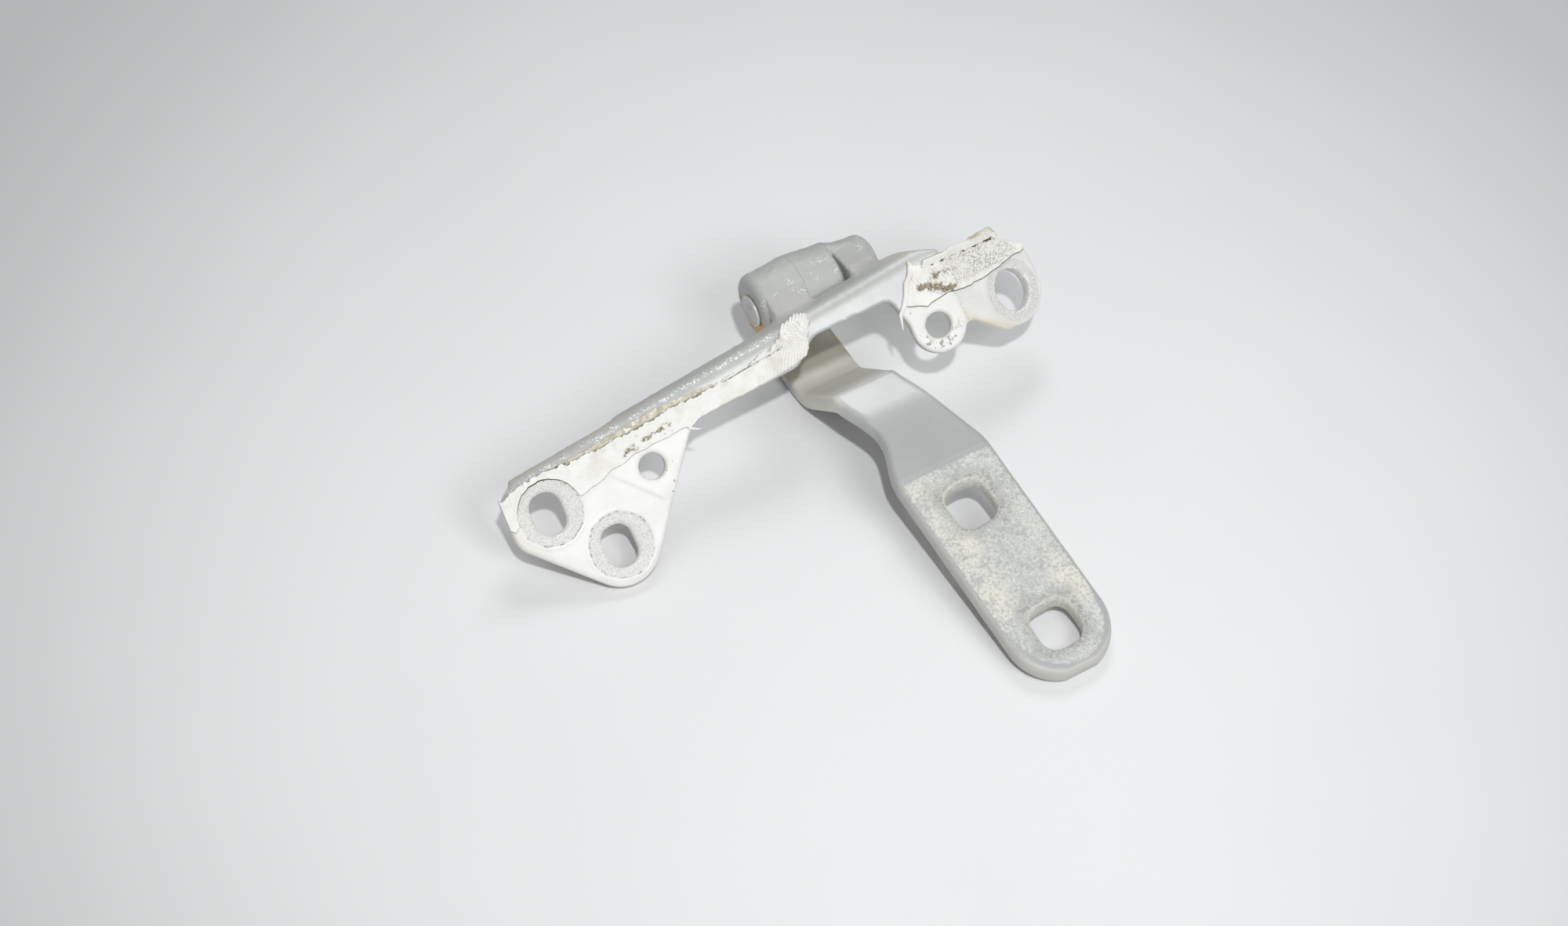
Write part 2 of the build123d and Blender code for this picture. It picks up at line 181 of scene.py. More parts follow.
def feed(node, **values):
    """Links or values for a node's inputs; underscores in the names stand for spaces."""
    for key, value in values.items():
        put(node.inputs[key.replace("_", " ")], value)


def add_node(tree, kind, values=None, **settings):
    """A new node with its settings, its input values and its links."""
    made = tree.nodes.new(kind)
    for key, value in settings.items():
        setattr(made, key, value)
    for key, value in (values or {}).items():
        put(made.inputs[key], value)
    return made


def own_place(tree):
    """Object coordinates."""
    return add_node(tree, "ShaderNodeTexCoord").outputs["Object"]


def noise(tree, place, scale, detail):
    """A noise texture's value."""
    values = {"Vector": place, "Scale": scale, "Detail": detail}
    return add_node(tree, "ShaderNodeTexNoise", values).outputs[0]


def mixed(tree, share, first, second):
    """Colour between two colours or colour sockets."""
    made = add_node(tree, "ShaderNodeMix", {0: share, 6: first, 7: second}, data_type="RGBA")
    return made.outputs[2]


def math_of(tree, operation, first, second):
    """One Math node's value."""
    return add_node(tree, "ShaderNodeMath", {0: first, 1: second}, operation=operation).outputs[0]


def times(tree, first, second):
    """Product of two values."""
    return math_of(tree, "MULTIPLY", first, second)


def plus(tree, first, second):
    """Sum of two values."""
    return math_of(tree, "ADD", first, second)


def tinted(tree, colour, share, strength, tint):
    """A colour with a tint laid over it, by a share times a strength."""
    return mixed(tree, times(tree, share, strength), colour, tint)


def ramp(tree, value, low, high, to_low=0.0, to_high=1.0):
    """A value stretched between two limits, with soft ends."""
    made = add_node(tree, "ShaderNodeMapRange", {"Value": value, 1: low, 2: high, 3: to_low, 4: to_high})
    made.interpolation_type = "SMOOTHSTEP"
    return made.outputs[0]


def new_group(name, inputs, outputs):
    """An empty shader group with named inputs and outputs."""
    tree = bpy.data.node_groups.new(name, "ShaderNodeTree")
    for label, kind, value in inputs:
        tree.interface.new_socket(label, in_out="INPUT", socket_type=kind).default_value = value
    for label, kind in outputs:
        tree.interface.new_socket(label, in_out="OUTPUT", socket_type=kind)
    return tree, tree.nodes.new("NodeGroupInput").outputs, tree.nodes.new("NodeGroupOutput").inputs


# %% Shared shader groups
FLOAT, COLOR = "NodeSocketFloat", "NodeSocketColor"
mottle_tree, given, result = new_group(
    "mottle", [("Light", COLOR, (1, 1, 1, 1)), ("Dark", COLOR, (0, 0, 0, 1)), ("Scale", FLOAT, 100.0),
               ("Low", FLOAT, 0.4), ("High", FLOAT, 0.6)], [("Color", COLOR)])
cloud = noise(mottle_tree, own_place(mottle_tree), given["Scale"], 5.0)
share = ramp(mottle_tree, cloud, given["Low"], given["High"])
put(result["Color"], mixed(mottle_tree, share, given["Dark"], given["Light"]))

speckle_tree, given, result = new_group(
    "speckle", [("Scale", FLOAT, 800.0), ("Size", FLOAT, 0.3), ("Soft", FLOAT, 0.1), ("Cover", FLOAT, 0.5)],
    [("Mask", FLOAT)])
place = own_place(speckle_tree)
cells = add_node(speckle_tree, "ShaderNodeTexVoronoi", {"Vector": place, "Scale": given["Scale"]})
edge = plus(speckle_tree, given["Size"], given["Soft"])
spots = ramp(speckle_tree, cells.outputs["Distance"], edge, given["Size"])
picked = add_node(speckle_tree, "ShaderNodeSeparateColor", {"Color": cells.outputs["Color"]}).outputs[0]
kept = math_of(speckle_tree, "LESS_THAN", picked, given["Cover"])
put(result["Mask"], times(speckle_tree, spots, kept))

relief_tree, given, result = new_group(
    "paint_relief", [("Peel Scale", FLOAT, 350.0), ("Peel", FLOAT, 0.6), ("Grit Scale", FLOAT, 2200.0),
                     ("Grit", FLOAT, 0.3)], [("Height", FLOAT)])
place = own_place(relief_tree)
peel = times(relief_tree, noise(relief_tree, place, given["Peel Scale"], 2.0), given["Peel"])
grit = times(relief_tree, noise(relief_tree, place, given["Grit Scale"], 3.0), given["Grit"])
put(result["Height"], plus(relief_tree, peel, grit))


def group_of(tree, group, **values):
    """The result of a shader group placed in a material."""
    made = add_node(tree, "ShaderNodeGroup", node_tree=group)
    feed(made, **values)
    return made.outputs[0]


def new_finish(name):
    """An empty material, its tree and its Principled shader."""
    finish = bpy.data.materials.new(name)
    finish.use_nodes = True
    tree = finish.node_tree
    return finish, tree, tree.nodes["Principled BSDF"]


def mark(tree, name):
    """A mark stored on the piece's own vertices."""
    return add_node(tree, "ShaderNodeAttribute", attribute_name=name).outputs["Fac"]


def ragged_mark(tree, name, broken, amount, low, high):
    """A stored mark whose border is broken up by noise."""
    return ramp(tree, plus(tree, mark(tree, name), times(tree, broken, amount)), low, high)


def roughen(tree, shader, peel, grit, strength, depth):
    """A bump from the paint relief; peel and grit are each a scale and an amount."""
    height = group_of(tree, relief_tree, Peel_Scale=peel[0], Peel=peel[1], Grit_Scale=grit[0], Grit=grit[1])
    bump = add_node(tree, "ShaderNodeBump", {"Height": height, "Strength": strength, "Distance": depth})
    feed(shader, Normal=bump.outputs[0])


print("groups:", [g.name for g in bpy.data.node_groups])

# %% [markdown]
# The bracket is sprayed silver grey over bare steel, and its two feet carry the car body's white paint.
# Where bolts were tightened, the washers have pressed a ring through the white down to speckled zinc. The
# marks are stored on the mesh by the cells further down, and the shader roughens their edges with fine
# noise.

# %% Bracket paint
bracket_paint, tree, shader = new_finish("bracket_paint")
place = own_place(tree)
grain = noise(tree, place, 1100.0, 4.0)
silver = group_of(tree, mottle_tree, Light=(0.565, 0.575, 0.56, 1), Dark=(0.515, 0.525, 0.51, 1), Scale=55.0)
dull_mark = mark(tree, "dull")
silver = tinted(tree, silver, dull_mark, 0.58, (0.40, 0.41, 0.395, 1))
fleck = group_of(tree, speckle_tree, Scale=1500.0, Size=0.18, Soft=0.12, Cover=0.16)
silver = tinted(tree, silver, fleck, 0.35, (0.72, 0.74, 0.73, 1))
# Painted highlight: near-white flecks where the lamp's reflection falls, on the bend, the barrel and the
# large hole's rim.
painted_glint_mark = mark(tree, "glint")
glint = group_of(tree, speckle_tree, Scale=1250.0, Size=0.36, Soft=0.14, Cover=0.75)
painted_glint_share = times(tree, glint, painted_glint_mark)
white = group_of(tree, mottle_tree, Light=(0.825, 0.825, 0.805, 1), Dark=(0.77, 0.766, 0.735, 1), Scale=90.0)
white_share = ramp(tree, mark(tree, "white"), 0.42, 0.58)
colour = mixed(tree, white_share, silver, white)
colour = mixed(tree, mark(tree, "yellow"), colour, (0.70, 0.64, 0.45, 1))
ring_share = ragged_mark(tree, "ring", grain, 0.5, 0.62, 0.9)
zinc = group_of(tree, mottle_tree, Light=(0.75, 0.75, 0.715, 1), Dark=(0.56, 0.565, 0.54, 1), Scale=2000.0,
                Low=0.34, High=0.6)
colour = mixed(tree, ring_share, colour, zinc)
colour = mixed(tree, painted_glint_share, colour, (0.95, 0.955, 0.945, 1))
rim_spots = ragged_mark(tree, "ring_rim", grain, 0.9, 0.98, 1.2)
colour = tinted(tree, colour, rim_spots, 0.75, (0.24, 0.24, 0.23, 1))
dark_share = ragged_mark(tree, "dark", grain, 0.9, 0.9, 1.15)
colour = tinted(tree, colour, dark_share, 0.8, (0.17, 0.15, 0.12, 1))
# Dust, and painted shade along the fold line, in one brown tint.
dust = times(tree, mark(tree, "dust"), ramp(tree, grain, 0.35, 0.65))
colour = mixed(tree, dust, colour, (0.42, 0.395, 0.33, 1))
flat_white = ramp(tree, white_share, 0.0, 1.0, 0.40, 0.46)
rough = plus(tree, flat_white, times(tree, ring_share, 0.12))
rough = plus(tree, rough, times(tree, dull_mark, 0.22))
rough = math_of(tree, "SUBTRACT", rough, times(tree, painted_glint_share, 0.2))
bright = math_of(tree, "SUBTRACT", 1.0, math_of(tree, "MAXIMUM", white_share, dull_mark))
feed(shader, Base_Color=colour, Roughness=rough, Metallic=times(tree, bright, 0.14), Coat_Weight=0.15,
     Coat_Roughness=0.25)
grit_on_bend = ramp(tree, painted_glint_mark, 0.0, 1.0, 0.10, 0.8)
roughen(tree, shader, (420.0, 0.4), (1500.0, grit_on_bend), 0.5, 0.0003)
print("bracket paint:", len(tree.nodes), "nodes")

# %% [markdown]
# The arm had the same grey paint, but the pad that was clamped to the lid has gone chalky: a cream and grey
# crust with a crystal grain, ending in a ragged line at the root of the pad, darker round the square holes
# and cut short of the smooth rounded rim.

# %% Arm paint
arm_paint, tree, shader = new_finish("arm_paint")
place = own_place(tree)
ragged = noise(tree, place, 900.0, 6.0)
stain = noise(tree, place, 75.0, 5.0)
grey = group_of(tree, mottle_tree, Light=(0.535, 0.545, 0.535, 1), Dark=(0.495, 0.505, 0.495, 1), Scale=45.0)
fleck = group_of(tree, speckle_tree, Scale=1400.0, Size=0.16, Soft=0.12, Cover=0.10)
grey = tinted(tree, grey, fleck, 0.25, (0.66, 0.67, 0.66, 1))
# Painted light: the back-facing upslope of the neck made paler.
grey = tinted(tree, grey, mark(tree, "pale"), 0.85, (0.77, 0.78, 0.75, 1))
# Painted shade: the lower facet darkened towards the pad.
grey = tinted(tree, grey, mark(tree, "slope"), 0.55, (0.375, 0.385, 0.38, 1))
chalk_share = ragged_mark(tree, "chalk", ragged, 0.7, 0.72, 0.98)
crust = group_of(tree, mottle_tree, Light=(0.71, 0.715, 0.675, 1), Dark=(0.50, 0.51, 0.485, 1), Scale=2000.0,
                 Low=0.34, High=0.6)
crust = mixed(tree, ramp(tree, stain, 0.45, 0.7, 0.0, 0.45), crust, (0.55, 0.565, 0.55, 1))
crust = tinted(tree, crust, mark(tree, "yellow"), 0.78, (0.77, 0.75, 0.655, 1))
crust = tinted(tree, crust, mark(tree, "worn"), 0.4, (0.45, 0.465, 0.455, 1))
hole_shade = times(tree, mark(tree, "hole"), ramp(tree, ragged, 0.40, 0.60))
crust = tinted(tree, crust, hole_shade, 0.8, (0.31, 0.315, 0.30, 1))
pepper = group_of(tree, speckle_tree, Scale=1900.0, Size=0.16, Soft=0.14, Cover=0.25)
crust = tinted(tree, crust, pepper, 0.3, (0.32, 0.32, 0.30, 1))
salt = group_of(tree, speckle_tree, Scale=1700.0, Size=0.2, Soft=0.15, Cover=0.35)
crust = tinted(tree, crust, salt, 0.65, (0.88, 0.88, 0.85, 1))
colour = mixed(tree, chalk_share, grey, crust)
line_share = ragged_mark(tree, "line", ragged, 0.8, 1.0, 1.2)
colour = tinted(tree, colour, line_share, 0.8, (0.20, 0.20, 0.18, 1))
# Road dust in the belly, and a painted highlight on the neck's rounded left side, as one pale film.
dust_film_and_edge_light = times(tree, mark(tree, "dust"), ramp(tree, stain, 0.2, 0.7, 0.55, 1.0))
colour = mixed(tree, dust_film_and_edge_light, colour, (0.79, 0.765, 0.67, 1))
# Painted shadow: the belly under the beam darkened.
colour = tinted(tree, colour, mark(tree, "deep"), 0.8, (0.33, 0.31, 0.245, 1))
# Painted highlight: a thin light line along the crest.
colour = tinted(tree, colour, mark(tree, "crease"), 0.8, (0.82, 0.82, 0.79, 1))
rough = ramp(tree, chalk_share, 0.0, 1.0, 0.36, 0.75)
rough = plus(tree, rough, times(tree, mark(tree, "dull"), 0.2))
rough = plus(tree, rough, times(tree, dust_film_and_edge_light, 0.3))
feed(shader, Base_Color=colour, Roughness=rough, Metallic=ramp(tree, chalk_share, 0.0, 1.0, 0.14, 0.0),
     Coat_Weight=0.12, Coat_Roughness=0.25)
crystal = ramp(tree, chalk_share, 0.0, 1.0, 0.08, 1.2)
roughen(tree, shader, (420.0, 0.15), (1500.0, crystal), 0.55, 0.00035)
print("arm paint:", len(tree.nodes), "nodes")

# %% [markdown]
# Seam sealer is a thick soft paste that was brushed over the joint and painted with the car. Its face is
# cream and matt with fine cracks; where it tore, the inside is khaki with dirt in it. `torn` is a mark
# stored on the sheets; a second mark holds the cracks together with painted shadow lines under lifted
# edges and under the flap, and `shade` is painted shade.

# %% Sealer, adhesive and grit finishes
sealer_finish, tree, shader = new_finish("sealer")
cream = group_of(tree, mottle_tree, Light=(0.885, 0.88, 0.85, 1), Dark=(0.80, 0.785, 0.735, 1), Scale=170.0,
                 Low=0.3, High=0.58)
place = own_place(tree)
ragged = noise(tree, place, 900.0, 5.0)
grey_spots = group_of(tree, mottle_tree, Light=(0.80, 0.79, 0.75, 1), Dark=(0.33, 0.315, 0.28, 1),
                      Scale=1600.0, Low=0.36, High=0.56)
colour = tinted(tree, cream, mark(tree, "speckled"), 0.85, grey_spots)
soil_share = ragged_mark(tree, "soil", ragged, 0.8, 0.82, 1.1)
soil = group_of(tree, mottle_tree, Light=(0.40, 0.345, 0.23, 1), Dark=(0.16, 0.13, 0.08, 1), Scale=1400.0)
colour = tinted(tree, colour, soil_share, 0.9, soil)
torn_share = ragged_mark(tree, "torn", ragged, 0.6, 0.75, 0.95)
khaki = group_of(tree, mottle_tree, Light=(0.70, 0.665, 0.555, 1), Dark=(0.53, 0.485, 0.365, 1), Scale=420.0)
colour = mixed(tree, torn_share, colour, khaki)
colour = mixed(tree, mark(tree, "shade"), colour, (0.40, 0.375, 0.32, 1))
# Cracks, and painted shadow lines under lifted edges, darkened almost to black.
crack_and_shadow_share = ragged_mark(tree, "crack", ragged, 0.5, 0.85, 1.05)
colour = mixed(tree, crack_and_shadow_share, colour, (0.10, 0.085, 0.06, 1))
feed(shader, Base_Color=colour, Roughness=ramp(tree, ragged, 0.3, 0.7, 0.72, 0.92))
roughen(tree, shader, (500.0, 0.8), (2400.0, 0.5), 0.6, 0.0003)


def crumb_finish(name, light, dark, scale, roughness):
    """A rough matt finish for crumbs."""
    finish, tree, shader = new_finish(name)
    tone = group_of(tree, mottle_tree, Light=light, Dark=dark, Scale=scale)
    feed(shader, Base_Color=tone, Roughness=roughness)
    roughen(tree, shader, (2000.0, 0.8), (5000.0, 0.6), 0.5, 0.0001)
    return finish


grit_finish = crumb_finish("dry_grit", (0.36, 0.32, 0.24, 1), (0.12, 0.10, 0.075, 1), 700.0, 0.9)
crust_finish = crumb_finish("chalk_crust", (0.80, 0.78, 0.69, 1), (0.52, 0.50, 0.43, 1), 600.0, 0.85)
print("materials:", [m.name for m in bpy.data.materials])

# %% [markdown]
# The pin and the right bush keep their imported shape, and the left bush is turned further down. The pin is
# steel under grey overspray with a lighter, smoother rim; the bronze only shows where the spray did not
# reach, low on the flange.

# %% Pin and bush finishes
pin_finish, tree, shader = new_finish("pin_steel")
spray = group_of(tree, mottle_tree, Light=(0.58, 0.59, 0.58, 1), Dark=(0.45, 0.455, 0.445, 1), Scale=260.0)
place = own_place(tree)
axis, across_axis = (0.0, PIN_Y * MM, PIN_Z * MM), (0.0, 1.0, 1.0)
off_axis = add_node(tree, "ShaderNodeVectorMath", {0: place, 1: axis}, operation="SUBTRACT").outputs[0]
flat = add_node(tree, "ShaderNodeVectorMath", {0: off_axis, 1: across_axis}, operation="MULTIPLY").outputs[0]
radius = add_node(tree, "ShaderNodeVectorMath", {0: flat}, operation="LENGTH").outputs["Value"]
rim = ramp(tree, radius, 0.0041, 0.0052)
colour = tinted(tree, spray, rim, 0.6, (0.66, 0.67, 0.65, 1))
specks = group_of(tree, speckle_tree, Scale=900.0, Size=0.14, Soft=0.1, Cover=0.3)
colour = tinted(tree, colour, specks, 0.5, (0.22, 0.20, 0.17, 1))
feed(shader, Base_Color=colour, Roughness=ramp(tree, rim, 0.0, 1.0, 0.45, 0.33), Metallic=0.15)
roughen(tree, shader, (600.0, 0.8), (2500.0, 0.4), 0.5, 0.0002)

bush_finish, tree, shader = new_finish("bush_bronze")
bronze = group_of(tree, mottle_tree, Light=(0.62, 0.36, 0.14, 1), Dark=(0.36, 0.20, 0.08, 1), Scale=500.0)
place = own_place(tree)
height = add_node(tree, "ShaderNodeSeparateXYZ", {0: place}).outputs["Z"]
ragged = noise(tree, place, 900.0, 4.0)
spray_line = plus(tree, height, times(tree, ragged, 0.004))
sprayed = ramp(tree, spray_line, 0.0305, 0.0335)
colour = mixed(tree, sprayed, bronze, (0.45, 0.46, 0.44, 1))
feed(shader, Base_Color=colour, Metallic=ramp(tree, sprayed, 0.0, 1.0, 0.7, 0.0),
     Roughness=ramp(tree, ragged, 0.3, 0.7, 0.32, 0.5))
roughen(tree, shader, (700.0, 0.7), (2500.0, 0.5), 0.5, 0.0002)

for node, finish in (("hinge_pin", pin_finish), ("bush_left", bush_finish), ("bush_right", bush_finish)):
    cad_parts[node].data.materials.clear()
    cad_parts[node].data.materials.append(finish)
print("pin and bushes dressed")

# %% [markdown]
# Thick paint rounds every edge of a pressing. The bracket could be bevelled edge by edge, but the presswork
# has dozens of short ones, so its solid is remeshed into an even skin and the skin is relaxed a few times,
# which rounds all edges alike. Relaxing is held back beside the arm's eye, where paint bridges the narrow
# gap.

# %% Helpers for a paint skin
def placed(name, data):
    """A new object in the scene."""
    made = bpy.data.objects.new(name, data)
    bpy.context.scene.collection.objects.link(made)
    return made


def plain_mesh(blank):
    """The mesh that an object's modifiers give; the object itself goes."""
    graph = bpy.context.evaluated_depsgraph_get()
    mesh = bpy.data.meshes.new_from_object(blank.evaluated_get(graph), depsgraph=graph)
    bpy.data.objects.remove(blank)
    return mesh


def new_mesh(name, points, faces):
    """A mesh from points in metres and faces."""
    mesh = bpy.data.meshes.new(name)
    mesh.from_pydata(points.reshape(-1, 3), [], faces)
    mesh.update()
    return mesh


def even_skin(node, name, voxel):
    """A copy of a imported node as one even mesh."""
    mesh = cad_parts[node].data.copy()
    shape = bmesh.new()
    shape.from_mesh(mesh)
    bmesh.ops.remove_doubles(shape, verts=shape.verts, dist=1e-6)
    shape.to_mesh(mesh)
    shape.free()
    blank = placed(name + "_blank", mesh)
    remesh = blank.modifiers.new("Even", "REMESH")
    remesh.mode = "VOXEL"
    remesh.voxel_size = voxel
    skin = plain_mesh(blank)
    skin.name = name
    return skin


def from_pin(points):
    """Distances from the pin's line, in mm."""
    return np.hypot(points[:, 1] - PIN_Y, points[:, 2] - PIN_Z)


def points_of(mesh):
    """Vertices in mm."""
    co = np.empty(len(mesh.vertices) * 3)
    mesh.vertices.foreach_get("co", co)
    return co.reshape(-1, 3) / MM


def put_points(mesh, points):
    """Vertices moved to points in mm."""
    mesh.vertices.foreach_set("co", (points * MM).ravel())
    mesh.update()


def normals_of(mesh):
    """Normals of the vertices."""
    n = np.empty(len(mesh.vertices) * 3)
    mesh.vertex_normals.foreach_get("vector", n)
    return n.reshape(-1, 3)


def relaxed(mesh, points, rounds, hold):
    """Points pulled towards their neighbours, by the share in hold."""
    pairs = np.empty(len(mesh.edges) * 2, dtype=np.int32)
    mesh.edges.foreach_get("vertices", pairs)
    a, b = pairs.reshape(-1, 2).T
    size = len(points)
    count = np.bincount(pairs, minlength=size)[:, None]
    for _ in range(rounds):
        total = np.stack([np.bincount(a, points[b, k], size) + np.bincount(b, points[a, k], size)
                          for k in range(3)], axis=1)
        points = points + (total / count - points) * 0.5 * hold[:, None]
    return points


def soft_skin(node, name, voxel, gap_x):
    """An even skin, its points with edges rounded except at the eyes' gap, and the distances from the pin."""
    mesh = even_skin(node, name, voxel)
    points = points_of(mesh)
    from_axis = from_pin(points)
    bridge = (np.abs(points[:, 0] - gap_x) < 1.2) & (from_axis < 13.5)
    return mesh, relaxed(mesh, points, 9, np.where(bridge, 0.06, 1.0)), from_axis


def pooled(mesh, points, rounds, share):
    """Paint that gathers in hollows: points move towards their neighbours, but only ever outwards."""
    for _ in range(rounds):
        put_points(mesh, points)
        normals = normals_of(mesh)
        out = np.sum((relaxed(mesh, points, 4, share) - points) * normals, axis=1)
        points = points + normals * np.maximum(out, 0)[:, None]
    return points


def to_line(a, b, line):
    """Distance from points a, b to a line of corners, all in mm."""
    best = np.full(np.shape(a), 1e9)
    for (ax, ay), (bx, by) in zip(line[:-1], line[1:]):
        run = np.hypot(bx - ax, by - ay)
        t = np.clip(((a - ax) * (bx - ax) + (b - ay) * (by - ay)) / run ** 2, 0, 1)
        best = np.minimum(best, np.hypot(a - ax - t * (bx - ax), b - ay - t * (by - ay)))
    return best


def store(mesh, name, values):
    """A mark on the vertices that a finish can read."""
    values = np.clip(values, 0, 1).astype(np.float32)
    mesh.attributes.new(name, "FLOAT", "POINT").data.foreach_set("value", values)


def paint_lumps(points, normals, centres, sizes, heights):
    """Runs and drops in the paint, as soft bumps."""
    lift = np.zeros(len(points))
    for centre, size, height in zip(centres, sizes, heights):
        away = np.linalg.norm(points - centre, axis=1)
        lift += height * near(away, size)
    return points + normals * lift[:, None]


def finish_piece(mesh, name, finish, body, slot, *nodes):
    """An object for a mesh that is already in place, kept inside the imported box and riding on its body."""
    put_points(mesh, np.clip(points_of(mesh), np.array(CAD_BOX[0]) / MM, np.array(CAD_BOX[1]) / MM))
    mesh.materials.clear()
    mesh.materials.append(finish)
    mesh.shade_smooth()
    piece = placed(name, mesh)
    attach(piece, body)
    if nodes:
        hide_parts(*nodes)
    print(name, len(mesh.polygons), "faces")
    return piece


# %% Drops of paint on the barrel
BARREL_R = 11.3
DROP_COUNT = 46
DOME_FROM = 9.9
DOME_DEPTH = 3.0
DOME_R = 8.2
DOME_GROWS = 3.1
rng = np.random.default_rng(7)
drop_x = rng.uniform(9.0, 35.0, DROP_COUNT)
drop_turn = np.radians(rng.uniform(-75, 80, DROP_COUNT))
DROPS = np.stack([drop_x, PIN_Y - BARREL_R * np.sin(drop_turn), PIN_Z + BARREL_R * np.cos(drop_turn)], axis=1)
DROP_SIZES = rng.uniform(0.5, 1.3, DROP_COUNT)
DROP_HEIGHTS = rng.uniform(0.05, 0.22, DROP_COUNT)


def end_dome(x):
    """Radius of the barrel's rounded left end."""
    return DOME_R + DOME_GROWS * np.sqrt(1 - (np.clip(DOME_FROM - x, 0, DOME_DEPTH) / DOME_DEPTH) ** 2)


print(len(DROPS), "drops, barrel ends at radius", end_dome(6.9))

# %% [markdown]
# The bracket's marks: white feet, washer rings at the two slots and the large hole, and grime where the
# eyes grow out of the flange. A ring is a real step as well as a colour, so the skin is pressed in a little
# there and stands up in a small lip of pushed paint round it.

# %% Bracket skin
UPPER_SLOT = (0.7, -0.1)
LOWER_SLOT = (16.9, -17.8)
LARGE_HOLE = (22.0, 4.5)
SMALL_HOLE = (137.3, 4.2)
RIDGE_AT = (22.4, 2.7)
RIDGE_WAY = (0.685, 0.728)
mesh, points, from_axis = soft_skin("body_bracket", "bracket_skin", 0.00052, 22.2)
by_eyes = between(points[:, 0], 3.0, 6.0, 20.4, 21.6) + between(points[:, 0], 38.0, 39.5, 58.0, 64.0)
by_eyes = by_eyes * ease(7.5, 8.5, from_axis) * (1 - ease(19.0, 25.0, from_axis))
points = pooled(mesh, points, 70, by_eyes)
from_axis = from_pin(points)
end = (points[:, 0] < DOME_FROM) & (from_axis > 7.0) & (from_axis < 11.45) & (points[:, 0] > 6.0)
inward = np.where(end, np.minimum(1.0, (end_dome(points[:, 0]) - 0.06) / np.maximum(from_axis, 1.0)), 1.0)
points[:, 1] = PIN_Y + (points[:, 1] - PIN_Y) * inward
points[:, 2] = PIN_Z + (points[:, 2] - PIN_Z) * inward
put_points(mesh, points)
normals = normals_of(mesh)
flat = points - PLATE_ZERO
plate_x, plate_y, plate_n = flat @ PLATE_X, flat @ PLATE_Y, flat @ PLATE_N
lobe = points - LOBE_ZERO
lobe_x, lobe_y, lobe_n = lobe @ LOBE_X, lobe @ PLATE_Y, lobe @ LOBE_N
on_plate = (normals @ PLATE_N > 0.6) & (np.abs(plate_n) < 1.2) & (plate_x < FOLD_AT)
on_lobe = (normals @ LOBE_N > 0.6) & (np.abs(lobe_n) < 1.2) & (lobe_x > 0)
rough = wander(points, 2.2, 3)
rings = ((plate_x, plate_y, on_plate, *UPPER_SLOT, 10.3, 0.3),
         (plate_x, plate_y, on_plate, *LOWER_SLOT, 10.3, 0.3),
         (lobe_x, lobe_y, on_lobe, *LARGE_HOLE, 11.4, 1.8))
ring = np.zeros(len(points))
ring_rim = np.zeros(len(points))
sink = np.zeros(len(points))
for a, b, face, ca, cb, size, fade in rings:
    away = np.hypot(a - ca, b - cb) + 0.3 * rough
    inside = face * (1 - ease(size - fade, size + 0.1, away))
    ring = np.maximum(ring, inside)
    ring_rim += face * near(away - size + 0.15, 0.32) * (0.3 / fade)
    lip = face * near(away - size - 0.55, 0.4)
    sink += -0.15 * inside + 0.13 * lip
ring_rim = ring_rim * ease(-0.3, 0.3, wander(points, 1.1, 9))
from_hole = np.hypot(lobe_x - LARGE_HOLE[0], lobe_y - LARGE_HOLE[1])
hole_wall = (from_hole < 7.6) & (lobe_x > 0) & (np.abs(lobe_n) < 4)
ring = np.maximum(ring, hole_wall * (normals @ LOBE_N < 0.6))
ridge_x, ridge_y = plate_x - RIDGE_AT[0], plate_y - RIDGE_AT[1]
across_ridge = ridge_x * RIDGE_WAY[1] + ridge_y * RIDGE_WAY[0]
along_ridge = ridge_x * RIDGE_WAY[0] - ridge_y * RIDGE_WAY[1]
ridge_run = on_plate * ease(-2.0, 2.5, along_ridge) * (1 - ease(17.0, 19.5, along_ridge))
sink += ridge_run * (0.24 * ease(-0.5, 0.7, across_ridge) * (1 - ease(1.5, 8.0, across_ridge)))
points = points + normals * (sink + 0.018 * wander(points, 3.5, 5))[:, None]
points[:, 2] = np.maximum(points[:, 2], 0.0)
put_points(mesh, points)

# %% Bracket marks
UPPER_TEAR = np.array((
    (-12.4, 9.0), (-6.4, 10.6), (-0.2, 11.4), (4.1, 12.1), (11.1, 11.6), (17.8, 11.9), (26.5, 12.1),
    (35.0, 13.2), (44.0, 13.9), (50.3, 14.5), (58.7, 15.1), (67.1, 15.8), (75.5, 16.5), (78.4, 17.6),
    (84.8, 19.1), (88.6, 21.4), (90.7, 23.1), (96.7, 24.2), (98.9, 23.0), (99.2, 21.5)))
STRAND = np.array((
    (125.8, 7.2), (126.8, 11.7), (129.3, 14.3), (130.9, 16.6), (132.5, 20.2), (134.4, 21.8), (135.9, 24.8),
    (135.7, 26.4)))
SPECKS = (
    (38.8, -2.6, 0.5), (41.8, -0.6, 0.3), (42.6, -3.1, 0.35), (39.9, -6.4, 0.45), (38.2, -9.2, 0.4),
    (132.1, 2.1, 0.5), (134.2, -0.5, 0.45), (138.7, -2.0, 0.5), (142.4, 0.0, 0.5), (130.2, 11.0, 0.45),
    (131.4, 4.2, 0.35))
px = points[:, 0]
left_foot = (1 - ease(50.5, 53.0, plate_x)) * (plate_n > -4.6)
left_foot = left_foot * (1 - ease(-0.6, 0.6, plate_y - np.interp(plate_x, *UPPER_TEAR.T)))
left_foot = left_foot * ((normals @ PLATE_N > -0.3) & (plate_y < 15))
strand_at = np.interp(plate_y, STRAND[:, 1], STRAND[:, 0])
right_foot = ease(-0.6, 0.4, plate_x - strand_at) * (1 - ease(22.5, 25.0, plate_y)) * (plate_n > -24)
